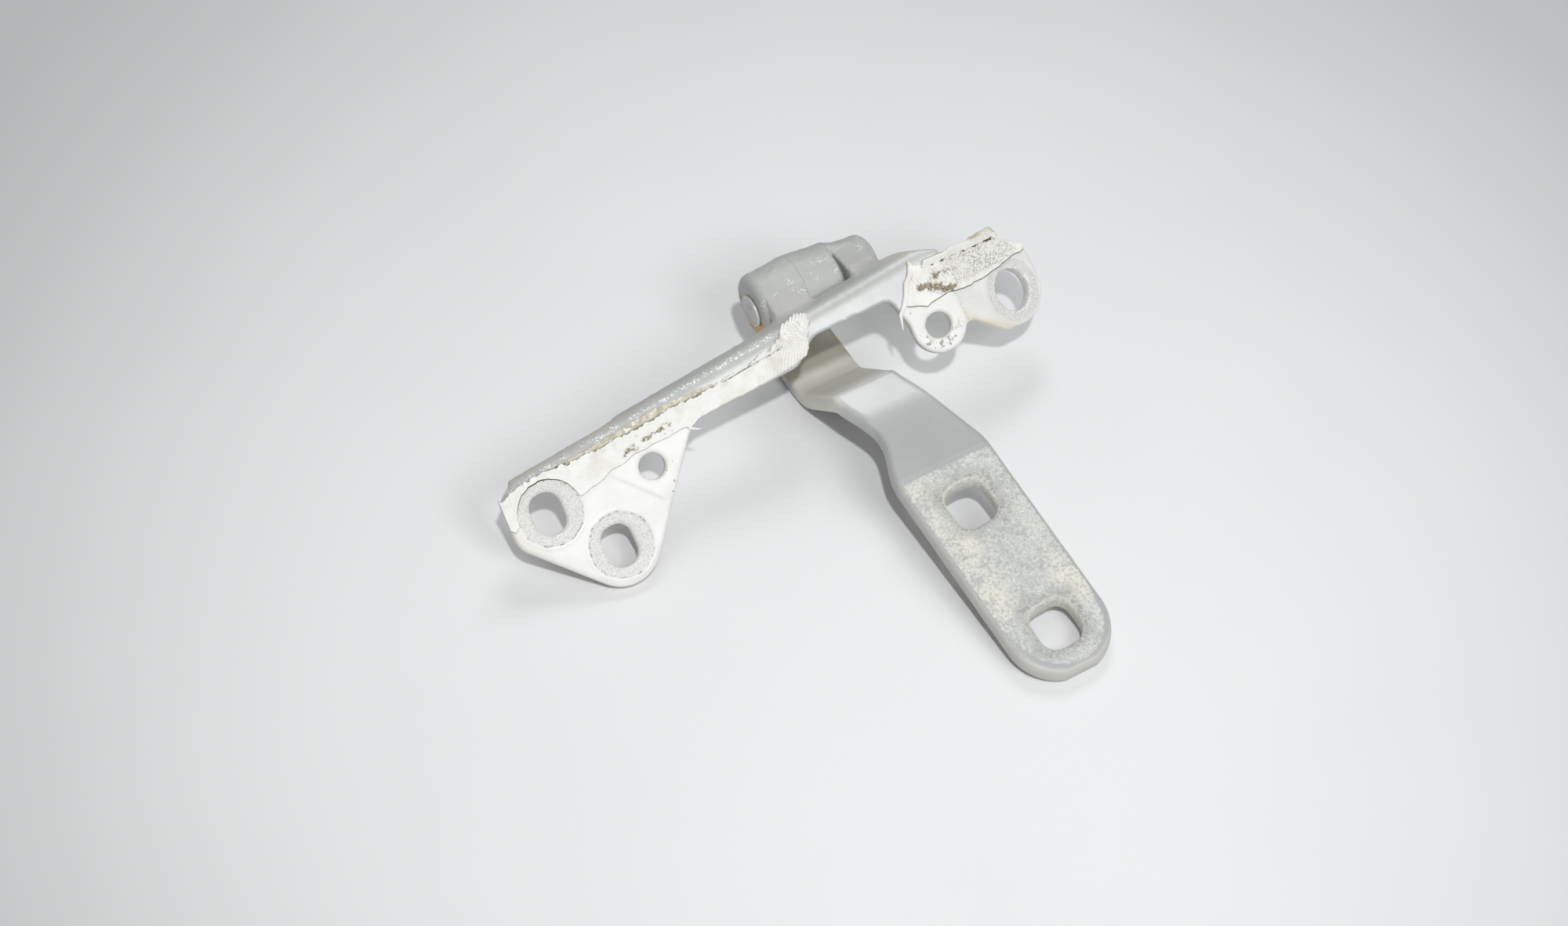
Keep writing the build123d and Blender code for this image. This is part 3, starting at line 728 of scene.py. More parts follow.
right_foot = right_foot * (normals @ PLATE_N > -0.3)
store(mesh, "white", np.maximum(left_foot, right_foot) + 0.06 * rough)
store(mesh, "ring", ring)
store(mesh, "ring_rim", ring_rim)
up = ((plate_y - TOP_Y) - TOP_RISE * plate_x) / RISE_LENGTH
# Painted highlight: flecks along the bend's apex, on top of the barrel and round the large hole's rim.
bend_highlight = near(up + 0.8 + 0.4 * rough, 0.9) * (plate_n > -4) * (plate_x < 100) * (plate_x > -11)
bend_highlight = bend_highlight * ease(-0.7, 0.1, wander(points, 2.6, 16) + 0.4 * wander(points, 7.0, 15))
on_barrel = (px < 51.5) * (px > 6) * (from_axis < 13.0)
barrel_highlight = ease(0.1, 0.7, wander(points, 3.0, 17)) * on_barrel * (normals[:, 2] > 0.4) * 0.5
hole_rim_highlight = on_lobe * near(from_hole - 7.3, 0.5) * 0.9
store(mesh, "glint", bend_highlight + barrel_highlight + hole_rim_highlight)
behind_bend = ease(-0.5, 1.0, up) * (plate_x < 118) * (plate_x > -12)
store(mesh, "dull", np.maximum(behind_bend, on_barrel))
root = between(from_axis, 9.0, 13.0, 14.0, 19.0) * (px < 58) * (px > 2)
lobe_away = np.hypot(plate_x - SMALL_HOLE[0], plate_y - SMALL_HOLE[1])
lobe_grime = on_plate * (lobe_away > 4.4) * (1 - ease(6.5, 9.0, lobe_away))
lobe_grime = lobe_grime * ease(-1.0, 3.0, SMALL_HOLE[1] - plate_y)
# Painted shade: a darker line along the fold between the lobes.
fold_shade = near(plate_x - FOLD_AT, 0.8) * (plate_y < 12) * (normals @ PLATE_N > 0.5)
lobe_dust = 0.85 * lobe_grime * ease(-0.3, 0.4, wander(points, 1.6, 20))
store(mesh, "dust", np.maximum.reduce([0.35 * root, lobe_dust, 0.4 * fold_shade]))
yellow_lobe = near(lobe_y + 0.55 * lobe_x - 2.6, 1.2) * (lobe_x > 0) * (lobe_x < 19)
yellow_foot = near(plate_y + 9.2 + 0.95 * (plate_x - 4), 1.6) * (plate_x < 4) * (plate_n > -3)
yellow_end = near(plate_x + 11.0, 2.2) * (plate_y < 8) * (plate_n > -4)
by_feet = (plate_x < 50) + (plate_x > 128) * (plate_x < FOLD_AT)
feet_rim = (normals @ PLATE_N < 0.55) * (plate_n > -4.5) * by_feet
store(mesh, "yellow", 0.6 * yellow_lobe + 0.35 * yellow_foot + 0.25 * yellow_end + 0.22 * feet_rim)
dark = np.zeros(len(points))
for sx, sy, size in SPECKS:
    dark += on_plate * np.exp(-(((plate_x - sx) ** 2 + (plate_y - sy) ** 2) / (2 * size * size)))
lobe_dark = 0.95 * lobe_grime * ease(0.05, 0.6, wander(points, 1.1, 19))
store(mesh, "dark", dark * (0.62 + 0.4 * wander(points, 0.8, 18)) + lobe_dark)
finish_piece(mesh, "bracket_skin", bracket_paint, "bracket", "bracket_paint", "body_bracket")

# %% [markdown]
# The arm gets the same skin. Its marks follow the pad: the chalky field stops short of the rounded rim and
# ends at a ragged line at the pad's root; grey shows again round the two square holes, and a beige film of
# road dust lies in the belly. Light and shade are painted on as well: the beam's shadow on the belly, a
# paler upslope and neck side, a darker lower facet and a thin highlight along the crest.

# %% Arm skin
PAD_HOLES = ((31.9, -20.9), (34.2, -66.3))
PAD_TURN = math.tan(math.radians(2.9))
PAD_TIP_Y = -65.5
mesh, points, from_axis = soft_skin("lid_arm", "arm_skin", 0.00047, 22.6)
to_holes = [np.maximum(np.abs(points[:, 0] - hx), np.abs(points[:, 1] - hy)) for hx, hy in PAD_HOLES]
reach = np.min(to_holes, axis=0)
points = relaxed(mesh, points, 22, 1 - ease(8.2, 9.6, reach))
put_points(mesh, points)
normals = normals_of(mesh)
points = points + normals * (0.01 * wander(points, 3.5, 11) + 0.03 * wander(points, 9.0, 12))[:, None]

pad_mid = PAD_HOLES[0][0] + (PAD_HOLES[0][1] - points[:, 1]) * PAD_TURN
across = points[:, 0] - pad_mid
tip = np.hypot(across, np.minimum(points[:, 1] - PAD_TIP_Y, 0))
upward = normals[:, 2] > 0.8
limit = 16.2 - 1.4 * ease(0, 8, -60 - points[:, 1])
inside = np.where(points[:, 1] < PAD_TIP_Y, limit - tip, limit - np.abs(across))
chalk = upward * ease(-0.8, 0.8, inside) * (1 - ease(-7.2, -5.6, points[:, 1]))
chalk = np.maximum(chalk, 1 - ease(8.6, 9.4, reach))
points = points + normals * (chalk * 0.045 * wander(points, 0.9, 21))[:, None]
points[:, 2] = np.maximum(points[:, 2], 0.0)
put_points(mesh, points)

# %% Arm marks
CREAM_SPOTS = (
    (23.0, -32.4, 4.5), (21.5, -51.8, 5.0), (44.4, -54.6, 4.0), (45.8, -60.3, 4.0), (19.5, -11.7, 4.0))
px, py, pz = points.T
store(mesh, "chalk", chalk * 0.55 + 0.08 * wander(points, 4.0, 22))
hole = 1 - ease(7.8, 12.0, reach + 2.0 * wander(points, 2.4, 23))
store(mesh, "hole", hole * upward)
yellow = np.zeros(len(points))
for yx, yy, size in CREAM_SPOTS:
    yellow += np.exp(-(((px - yx) ** 2 + (py - yy) ** 2) / (size * size)))
pad_y = -py
left_cream = near(across + 11.5, 3.6) * ease(12, 18, pad_y) * (1 - ease(56, 62, pad_y))
right_cream = near(across - 11.5, 3.2) * ease(40, 46, pad_y) * (1 - ease(62, 68, pad_y))
store(mesh, "yellow", yellow + (left_cream + right_cream) * (0.38 + 0.35 * wander(points, 3.0, 26)))
worn = near(across - 1.0, 6.5) * ease(28, 34, pad_y) * (1 - ease(52, 57, pad_y))
store(mesh, "worn", worn * (0.7 + 0.5 * wander(points, 2.5, 27)))
line = near(py + 6.2 + 0.5 * wander(points, 2.0, 24), 0.3) * upward * (np.abs(across) < 14.6)
store(mesh, "line", line * 0.75)
belly = (1 - ease(20.0, 27.0, pz)) * ease(31, 36, py) * (normals[:, 2] > 0.2)
# Painted highlight: the neck's rounded left side is given the pale film as well.
neck_side_highlight = (normals[:, 0] < -0.25) * ease(24, 29, py) * (1 - ease(50, 56, py))
# Painted light: the upslope behind the crest, facing away from the lamp, made paler.
store(mesh, "pale", between(py, 30.5, 32.5, 52, 56) * ease(0.2, 0.5, normals[:, 1]))
rim_film = 0.35 * (1 - ease(-9, -5, py)) * (normals[:, 2] < 0.85)
store(mesh, "dust", np.maximum.reduce([0.8 * belly, 0.75 * neck_side_highlight, rim_film]))
# Painted shadow of the beam on the belly.
store(mesh, "deep", belly * ease(54.0, 58.5, py))
# Painted highlight: a thin light line along the crest.
crease = near(py - 30.8 + 0.15 * wander(points, 4.0, 25), 0.45) * (normals[:, 2] > 0.3)
store(mesh, "crease", crease * ease(12.8, 14.5, px) * (1 - ease(32.5, 34.0, px)))
pad_side = (py < -5.0) * 1.0
# Painted shade: darker from the crest down to the pad.
store(mesh, "slope", 1 - ease(9.0, 22.0, py))
store(mesh, "dull", np.maximum((from_axis < 13.5) * 1.0, pad_side))
arm_skin = finish_piece(mesh, "arm_skin", arm_paint, "arm", "arm_paint", "lid_arm")

# %% [markdown]
# Paint and sealer come off in sheets and threads. A sheet is a grid of points on the skin, closed
# underneath, so it has a real thickness that shows where it tore; a thread is a small tube that thins out
# along its path.

# %% Torn sheet and thread helpers
SHEET_STEP = 0.25
SHEET_UNDER = 0.02
SHEET_SHARES = 0.5 - 0.5 * np.cos(np.linspace(0, math.pi, 33))
THREAD_SIDES = 10


def torn_sheet(name, face, under):
    """A closed sheet between two grids of points, walls round its rim."""
    rows, cols = face.shape[:2]
    index = np.arange(rows * cols).reshape(rows, cols)
    back = index + rows * cols
    faces = []
    for i in range(rows - 1):
        for j in range(cols - 1):
            faces.append((index[i, j], index[i + 1, j], index[i + 1, j + 1], index[i, j + 1]))
            faces.append((back[i, j], back[i, j + 1], back[i + 1, j + 1], back[i + 1, j]))
    for i in range(rows - 1):
        faces.append((index[i, 0], back[i, 0], back[i + 1, 0], index[i + 1, 0]))
        faces.append((index[i, -1], index[i + 1, -1], back[i + 1, -1], back[i, -1]))
    for j in range(cols - 1):
        faces.append((index[0, j], index[0, j + 1], back[0, j + 1], back[0, j]))
        faces.append((index[-1, j], back[-1, j], back[-1, j + 1], index[-1, j + 1]))
    return new_mesh(name, np.concatenate([face.reshape(-1, 3), under.reshape(-1, 3)]), faces)


def on_line(a):
    """Points along a line, so that an edge can wander."""
    return np.stack([a, np.zeros_like(a), np.zeros_like(a)], axis=1)


def sheet_grid(a, lower, upper, share):
    """A grid between two torn lines: both places, the same as points, the distances from top and bottom."""
    depth = (upper - lower)[:, None]
    grid_a = np.repeat(a[:, None], len(share), axis=1)
    grid_y = lower[:, None] + share[None, :] * depth
    here = np.stack([grid_a, grid_y, np.zeros_like(grid_a)], axis=-1)
    return grid_a, grid_y, here, (1 - share[None, :]) * depth, share[None, :] * depth


def both_sides(values):
    """A mark for the face grid and the same for the underside."""
    return np.concatenate([values.ravel(), values.ravel()])


def torn_thread(name, skin, path, widths, lifts):
    """A torn thread of sealer along a path on the skin, thinning to its end."""
    path = np.array(path)
    run = np.concatenate([[0], np.cumsum(np.hypot(*np.diff(path, axis=0).T))])
    s = np.linspace(0, run[-1], int(run[-1] / 0.3) + 4)
    a, b = np.interp(s, run, path[:, 0])[:, None], np.interp(s, run, path[:, 1])[:, None]
    wide, high = np.interp(s, run, widths)[:, None], np.interp(s, run, lifts)[:, None]
    step_a, step_b = np.gradient(a[:, 0], s)[:, None], np.gradient(b[:, 0], s)[:, None]
    length = np.hypot(step_a, step_b)
    turn = np.arange(THREAD_SIDES)[None, :] * (2 * math.pi / THREAD_SIDES)
    side = np.cos(turn) * wide
    points = skin(a - step_b / length * side, b + step_a / length * side, high + np.sin(turn) * wide * 0.7)
    rows, cols = points.shape[:2]
    index = np.arange(rows * cols).reshape(rows, cols)
    faces = [(index[i, j], index[i, (j + 1) % cols], index[i + 1, (j + 1) % cols], index[i + 1, j])
             for i in range(rows - 1) for j in range(cols)]
    faces += [tuple(index[0, ::-1]), tuple(index[-1])]
    return new_mesh(name, points, faces)


# %% [markdown]
# The whole barrel was sprayed after it was put together, so the paint runs over the bush's flange and the
# eyes in one thick skin that swells at the back. Each eye gets its own band of that skin, a sheet laid
# round the pin's line that rides on the eye's body, and the bands stop just short of each other so that the
# arm can still turn.

# %% Paint on the barrel
def barrel_band(name, along_x, size, turn, body, slot):
    """A band of paint round the barrel; turn is the angle from the top to the back, size the radius."""
    swell = np.clip(np.cos(turn - 0.8), 0, 1) ** 4 * near(along_x - 22.5, 6.5)
    size = size + 0.95 * swell * ease(10.8, 11.4, size)
    face = np.stack([along_x + 0 * size, PIN_Y + size * np.sin(turn), PIN_Z + size * np.cos(turn)], axis=-1)
    outward = np.stack([0 * size, np.sin(turn) + 0 * size, np.cos(turn) + 0 * size], axis=-1)
    under = face - 0.5 * outward
    under[..., 0] += np.where(along_x < 9.0, 0.5, 0.0)
    lumped = face.reshape(-1, 3) + outward.reshape(-1, 3) * 0.06 * wander(face, 3.0, 71).reshape(-1, 1)
    lumped = paint_lumps(lumped, outward.reshape(-1, 3), DROPS, DROP_SIZES, DROP_HEIGHTS)
    mesh = torn_sheet(name, lumped.reshape(face.shape) * MM, under * MM)
    store(mesh, "dull", np.ones(2 * size.size))
    # Painted highlight: lighter spots at the angle where the lamp's reflection falls on the barrel.
    spots = 0.55 * ease(0.25, 0.7, wander(face, 2.6, 72)) * np.clip(np.cos(turn + 0.45), 0, 1) ** 8
    store(mesh, "glint", both_sides(spots))
    return finish_piece(mesh, name, bracket_paint, body, slot)


def turns(first, last, start_fade, end_fade):
    """Angles for a band, and how full the paint is at each, fading out at both ends."""
    degrees = np.linspace(first, last, 180)[None, :]
    return np.radians(degrees), ease(0, start_fade, degrees - first) * ease(0, end_fade, last - degrees)


# %% Left eye, arm eye and right eye in paint
BAND_R = 11.42
LEFT_EDGE = 22.585
RIGHT_EDGE = 22.615
ROUND_R = 1.36
FAR_EDGE = 35.74
corner = np.radians(np.linspace(0, 90, 16))
straight = np.linspace(10.2, LEFT_EDGE, 52)
left_x = np.concatenate([DOME_FROM - 3.08 * np.cos(corner), straight])[:, None]
left_r = np.concatenate([DOME_R + 3.22 * np.sin(corner), np.full(len(straight), BAND_R)])[:, None]
turn, ends = turns(-62.0, 118.0, 26, 14)
left_x = left_x - 0.45 * ease(21.0, LEFT_EDGE, left_x) * ease(60, 85, np.degrees(turn))
barrel_band("eye_paint", left_x, left_r - 0.35 * (1 - ends), turn, "bracket", "bracket_paint")

corner = np.radians(np.linspace(5, 80, 8))
straight = np.linspace(RIGHT_EDGE, 34.2, 48)
right_x = np.concatenate([straight, 34.3 + ROUND_R * np.sin(corner)])[:, None]
rounding = np.concatenate([np.zeros(len(straight)), ROUND_R - ROUND_R * np.cos(corner)])[:, None]
turn, ends = turns(-95.0, 96.0, 26, 14)
open_gap = 1 - ease(8, 22, np.degrees(turn))
right_r = BAND_R - rounding * open_gap - 0.35 * (1 - ends)
barrel_band("arm_eye_paint", right_x, right_r, turn, "arm", "arm_paint")

far_x = np.linspace(FAR_EDGE, 47.0, 40)[:, None]
turn, ends = turns(4.0, 125.0, 16, 14)
full = 9.55 + 1.87 * np.exp(-((far_x - FAR_EDGE) / 3.2) ** 1.6) - 0.4 * ease(42, 47, far_x)
bare = np.where(far_x < 36.9, 7.2, 9.1)
barrel_band("right_eye_paint", far_x, bare + (full - bare) * ends, turn, "bracket", "bracket_paint")

# %% [markdown]
# The left bush closes the barrel's end. Its flange is worn round, so it is turned from a profile instead of
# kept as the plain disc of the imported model, with the same bore and length.

# %% Left bush
BUSH_FROM = 6.9
FLANGE_TO = 7.9
BUSH_TO = 22.2
BORE_R = 4.04
BUSH_R = 5.5
SIDES = 96
rim = [(x, end_dome(x) - 0.05) for x in np.linspace(BUSH_FROM, FLANGE_TO, 9)]
profile = [(BUSH_FROM, BORE_R), (BUSH_FROM, 6.0), (BUSH_FROM, 7.6)] + rim
profile += [(FLANGE_TO, BUSH_R), (BUSH_TO, BUSH_R), (BUSH_TO, BORE_R)]
turn = np.arange(SIDES) * (2 * math.pi / SIDES)
ring_points = np.array([[(x, PIN_Y + r * math.sin(t), PIN_Z + r * math.cos(t)) for t in turn]
                        for x, r in profile])
index = np.arange(len(profile) * SIDES).reshape(len(profile), SIDES)
onward = np.roll(index, -1, axis=0)
faces = [(index[i, j], onward[i, j], onward[i, (j + 1) % SIDES], index[i, (j + 1) % SIDES])
         for i in range(len(profile)) for j in range(SIDES)]
mesh = new_mesh("bush_left_turned", ring_points * MM, faces)
bush_left_turned = finish_piece(mesh, "bush_left_turned", bush_finish, "bracket", "bush_bronze", "bush_left")
bush_left_turned.data.set_sharp_from_angle(angle=math.radians(35))

# %% [markdown]
# The sealer strip on the left half of the plate follows the plate and wraps over its top bend. It is a
# sheet with a torn upper edge, a thin cracked lower edge that goes round the washer print, and a thick
# fibrous end. A grid laid between the two torn lines and closed underneath gives a real thickness that
# shows at the tears.

# %% Left sealer strip
LOWER_TEAR = np.array((
    (-12.8, 0.0), (-11.4, -1.3), (-9.8, -0.4), (-9.4, 1.2), (-8.9, 3.6), (-7.6, 6.0), (-5.5, 8.2),
    (-2.5, 9.6), (0.8, 10.1), (4.1, 9.6), (7.0, 8.1), (9.2, 6.0), (10.4, 3.6), (11.3, 0.8), (15.4, 1.9),
    (19.8, 2.9), (23.1, 4.4), (27.2, 4.6), (31.9, 6.1), (37.3, 6.3), (42.1, 6.6), (46.2, 6.7), (49.5, 7.3),
    (51.2, 6.2), (54.0, 7.6), (56.0, 8.3), (70.0, 9.1), (82.4, 10.2), (88.2, 10.9), (93.9, 12.4),
    (95.5, 14.2), (96.4, 17.4), (98.4, 20.4), (99.2, 21.4)))
GROOVE = ((66.0, 15.2), (74.0, 16.2), (84.8, 17.2), (87.7, 17.9))
SMUDGE = ((29.0, 7.1), (34.0, 8.3), (40.0, 9.0), (45.7, 10.2))
x = np.arange(-12.6, 99.1, SHEET_STEP)
v = SHEET_SHARES
along = on_line(x)
upper = np.interp(x, *UPPER_TEAR.T) + 0.45 * wander(along, 1.6, 31) + 0.25 * wander(along, 0.7, 32)
lower = np.interp(x, *LOWER_TEAR.T) + 0.22 * wander(along, 1.9, 33)
grid_x, grid_y, here, from_top, from_low = sheet_grid(x, lower, np.maximum(upper, lower + 0.25), v)
fan = ease(76, 86, grid_x - 0.4 * (grid_y - 14))
bent = grid_x - 0.5 * (grid_y - 12) - 0.03 * (grid_y - 12) ** 2
ridges = np.sin(5.4 * bent + 1.5 * wander(here, 4.0, 34))
groove = near(to_line(grid_x, grid_y, GROOVE), 0.34)
by_ring = (1 - ease(9.0, 12.0, grid_x)) * (grid_x > -9.6)
thick = 0.36 + 0.62 * v[None, :] ** 1.4 + 0.30 * ease(55, 70, grid_x) + 0.25 * by_ring
thick = thick + 0.09 * wander(here, 2.6, 35) + 0.05 * wander(here, 0.9, 36)
thick = thick + fan * (0.35 + 0.34 * ridges) - 0.5 * groove
curl = 0.4 * np.exp(-from_top / 0.9) * (0.55 + 0.45 * wander(here, 6.0, 37))
rim = np.minimum(ease(0, 0.3, from_low), 1 - 0.4 * (1 - ease(0, 0.25, from_top)))
strip_face = plate_skin(grid_x, grid_y, np.maximum(thick, 0.2) * (0.5 + 0.5 * rim) + curl)
strip_under = plate_skin(grid_x, grid_y, SHEET_UNDER)
mesh = torn_sheet("sealer_strip", strip_face, strip_under)
store(mesh, "torn", both_sides(0.5 * (1 - ease(0.1, 0.5, from_top)) * (1 - ease(66, 74, grid_x))))
crack = (0.8 + 0.2 * by_ring) * (1 - ease(0.05, 0.30 + 0.35 * by_ring, from_low))
crack = crack * (1 - ease(54, 57, grid_x))
# Painted shadow: a dark line under the lifted top edge, stored with the cracks.
crack = crack + 0.85 * groove + 0.75 * (1 - ease(0.05, 0.32, from_top)) * (1 - ease(58, 66, grid_x))
right_edge = ease(92.5, 94.5, grid_x) * (1 - ease(0.1, 0.6, from_low))
store(mesh, "crack", both_sides(crack + 0.8 * right_edge))
cupped = 0.35 * ease(0.2, 0.8, wander(here, 1.8, 39)) * np.exp(-from_top / 2.0)
store(mesh, "shade", both_sides(0.55 * fan * ease(0.2, 0.95, -ridges) + cupped))
smear = here * np.array((0.55, 1.0, 1.0))
streaks = ease(-0.5, 0.25, wander(smear, 1.1, 38) + 0.6 * wander(smear, 0.45, 40))
soil = near(to_line(grid_x, grid_y, SMUDGE), 1.5) * streaks
store(mesh, "soil", both_sides(0.76 * soil))
store(mesh, "speckled", both_sides(0.8 * soil))
store(mesh, "dirt", np.concatenate([soil.ravel(), 0 * soil.ravel()]))
sealer_strip = finish_piece(mesh, "sealer_strip", sealer_finish, "bracket", "sealer", "sealer_left")

# %% [markdown]
# Above the tear a bead of the old adhesive is left on the bend, khaki with flecks of cream, and a short
# thread of sealer hangs from the strip's lower edge. Both are laid on the same skin as the strip, so they
# touch it all along.

# %% Bead of adhesive and the loose thread
BEAD_TOP = np.array((
    (-4.0, 11.0), (3.5, 12.6), (9.5, 12.3), (20.5, 13.5), (30.2, 14.7), (38.8, 15.9), (47.0, 16.3),
    (59.2, 16.5), (64.0, 15.8)))
x = np.arange(-3.5, 63.5, SHEET_STEP)
v = np.linspace(0, 1, 13)
along = on_line(x)
low = np.interp(x, *UPPER_TEAR.T) - 0.5
top = np.interp(x, *BEAD_TOP.T) + 0.2 * wander(along, 2.2, 51) + 0.1 * wander(along, 0.7, 52)
grid_x, grid_y, here, from_top, from_low = sheet_grid(x, low, np.maximum(top, low + 0.35), v)
lift = 0.06 + 0.34 * np.sin(math.pi * v)[None, :] ** 0.6 * (0.85 + 0.3 * wander(here, 1.6, 53))
mesh = torn_sheet("sealer_bead", plate_skin(grid_x, grid_y, lift), plate_skin(grid_x, grid_y, SHEET_UNDER))
store(mesh, "torn", both_sides(0.75 * ease(-0.85, -0.5, wander(here, 0.8, 54))))
in_shade = 1 - ease(0.4, 1.1, from_low)
store(mesh, "shade", both_sides(0.8 * in_shade + 0.2 * ease(0.2, 0.8, wander(here, 1.1, 55))))
store(mesh, "crack", both_sides(np.exp(-(((grid_x - 9.5) ** 2 / 9.0 + (grid_y - 11.9) ** 2 / 0.25)))))
finish_piece(mesh, "sealer_bead", sealer_finish, "bracket", "sealer")

mesh = torn_thread("sealer_thread", plate_skin, ((50.4, 6.6), (51.6, 6.0), (53.0, 5.2), (54.4, 4.9)),
                   (0.5, 0.42, 0.22, 0.05), (0.25, 0.3, 0.5, 0.7))
finish_piece(mesh, "sealer_thread", sealer_finish, "bracket", "sealer")

# %% [markdown]
# The right patch crosses the fold of the foot. Its face is peppered with fine dirt, a strip of it still
# stands up along the top as a torn flap, and a thin strand runs down its left side.

# %% Right sealer patch
PATCH_LOWER = np.array((
    (128.6, 14.2), (129.7, 13.5), (133.5, 12.0), (136.1, 10.8), (139.7, 11.7), (144.5, 12.4), (146.9, 12.0),
    (151.2, 11.3), (156.2, 11.7), (161.3, 12.0), (167.6, 13.1), (174.0, 14.3), (179.0, 14.4)))
PATCH_UPPER = np.array((
    (128.6, 14.5), (129.3, 14.8), (130.9, 16.6), (132.5, 20.2), (134.4, 21.8), (135.9, 24.8), (139.2, 22.8),
    (142.7, 22.9), (149.5, 22.9), (157.4, 22.8), (163.9, 22.8), (167.8, 22.7), (171.6, 20.6), (175.1, 18.1),
    (178.4, 16.7), (178.9, 14.7)))
SOIL_BAND = ((136.5, 17.6), (139.0, 16.6), (141.5, 15.6), (143.8, 14.2), (145.6, 13.4))
SOIL_SPOT = ((142.0, 19.2), (147.0, 18.8))
u = np.arange(128.7, 178.8, SHEET_STEP)
v = SHEET_SHARES
along = on_line(u)
upper = np.interp(u, *PATCH_UPPER.T) + 0.25 * wander(along, 1.5, 41)
lower = np.interp(u, *PATCH_LOWER.T) + 0.2 * wander(along, 1.7, 42)
grid_u, grid_y, here, from_top, from_low = sheet_grid(u, lower, np.maximum(upper, lower + 0.25), v)
lumps = 0.82 + 0.6 * wander(here, 1.7, 46) + 0.6 * wander(here, 0.6, 49)
soil = near(to_line(grid_u, grid_y, SOIL_BAND), 1.9) * lumps
spots = near(to_line(grid_u, grid_y, SOIL_SPOT), 1.5)
soil = soil + 0.75 * spots * ease(-0.1, 0.5, wander(here, 1.3, 47) + 0.5 * wander(here, 0.5, 50))
thick = 0.36 + 0.4 * v[None, :] + 0.12 * wander(here, 2.8, 43) + 0.06 * wander(here, 0.9, 44) + 0.12 * soil
patch_face = foot_skin(grid_u, grid_y, thick * (0.5 + 0.5 * ease(0, 0.35, from_low)))
patch_under = foot_skin(grid_u, grid_y, SHEET_UNDER)
mesh = torn_sheet("sealer_patch", patch_face, patch_under)
store(mesh, "torn", both_sides(0.45 * (1 - ease(0.1, 0.8, from_top)) * (grid_u > 150)))
# Painted shadow: a dark band under the standing flap, stored with the cracks.
flap_shadow = 1 - ease(0.6, 1.15, from_top + 0.3 * wander(here, 0.8, 48))
flap_shadow = flap_shadow * ease(138.5, 140.5, grid_u) * (1 - ease(168, 170, grid_u))
flap_shadow_strength = 0.60 + 0.2 * wander(here, 1.7, 51) + 0.2 * ease(150, 166, grid_u)
store(mesh, "crack", both_sides(1 - ease(0.1, 0.55, from_low) + flap_shadow * flap_shadow_strength))
peppered = ease(143, 150, grid_u) * (1 - ease(172, 177, grid_u)) * ease(12.6, 15.0, grid_y)
peppered = peppered * (0.95 + 0.4 * wander(here, 4.0, 45))
store(mesh, "speckled", both_sides(peppered + 0.8 * spots + 0.5 * soil))
store(mesh, "soil", both_sides(0.85 * soil))
store(mesh, "dirt", np.concatenate([soil.ravel(), 0 * soil.ravel()]))
sealer_patch = finish_piece(mesh, "sealer_patch", sealer_finish, "bracket", "sealer", "sealer_right")

# %% Standing flap and side strand
FLAP_REACH = np.array((
    (139.0, 0.4), (140.2, 2.6), (148.0, 2.9), (157.0, 3.1), (162.0, 3.8), (167.0, 3.9), (169.0, 2.6),
    (170.2, 0.6)))
u = np.arange(139.2, 170.1, SHEET_STEP)
w = np.linspace(0, 1, 15)
along = on_line(u)
reach = np.interp(u, *FLAP_REACH.T) + 0.22 * wander(along, 1.2, 61) + 0.12 * wander(along, 0.5, 62)
reach = np.maximum(reach, 0.3)
base = np.interp(u, *PATCH_UPPER.T) - 0.25
grid_u, _, here, _, _ = sheet_grid(u, np.zeros_like(u), reach, w)
half = 0.38 - 0.14 * w[None, :] + 0.06 * wander(here, 1.5, 63)
mid_y = base[:, None] + 0.85 * reach[:, None] * w[None, :]
mid_lift = 0.3 + 0.53 * reach[:, None] * w[None, :] + 0.15 * wander(here, 4.0, 64) * w[None, :]
mesh = torn_sheet("sealer_flap", foot_skin(grid_u, mid_y - 0.53 * half, mid_lift + 0.85 * half),
                  foot_skin(grid_u, mid_y + 0.53 * half, mid_lift - 0.85 * half))
stained = 0.55 * ease(0.35, 0.8, w[None, :]) * ease(152, 160, grid_u) + 0.2 * ease(0.85, 1.0, w[None, :])
store(mesh, "torn", both_sides(stained + 0.12 * wander(here, 1.0, 65)))
# Painted shadow: a dark line along the flap's foot, stored with the cracks.
store(mesh, "crack", both_sides(0.7 * (1 - ease(0.02, 0.14, w[None, :])) + 0 * grid_u))
finish_piece(mesh, "sealer_flap", sealer_finish, "bracket", "sealer")

mesh = torn_thread("sealer_strand", foot_skin, STRAND[::-1], (0.4, 0.9, 1.0, 0.95, 0.95, 0.9, 0.6, 0.12),
                   (0.5, 0.6, 0.6, 0.55, 0.5, 0.45, 0.3, 0.1))
store(mesh, "shade", 0.3 * ease(0.2, 0.7, wander(points_of(mesh), 0.9, 66)))
finish_piece(mesh, "sealer_strand", sealer_finish, "bracket", "sealer")

# %% [markdown]
# Dry dirt sits in crumbs on the sealer and chalk in crumbs on the pad. Each crumb is a small rough stone; a
# node tree scatters them where a mark stored on the piece is strong, with a size and a density as inputs,
# and turns the result into plain mesh.

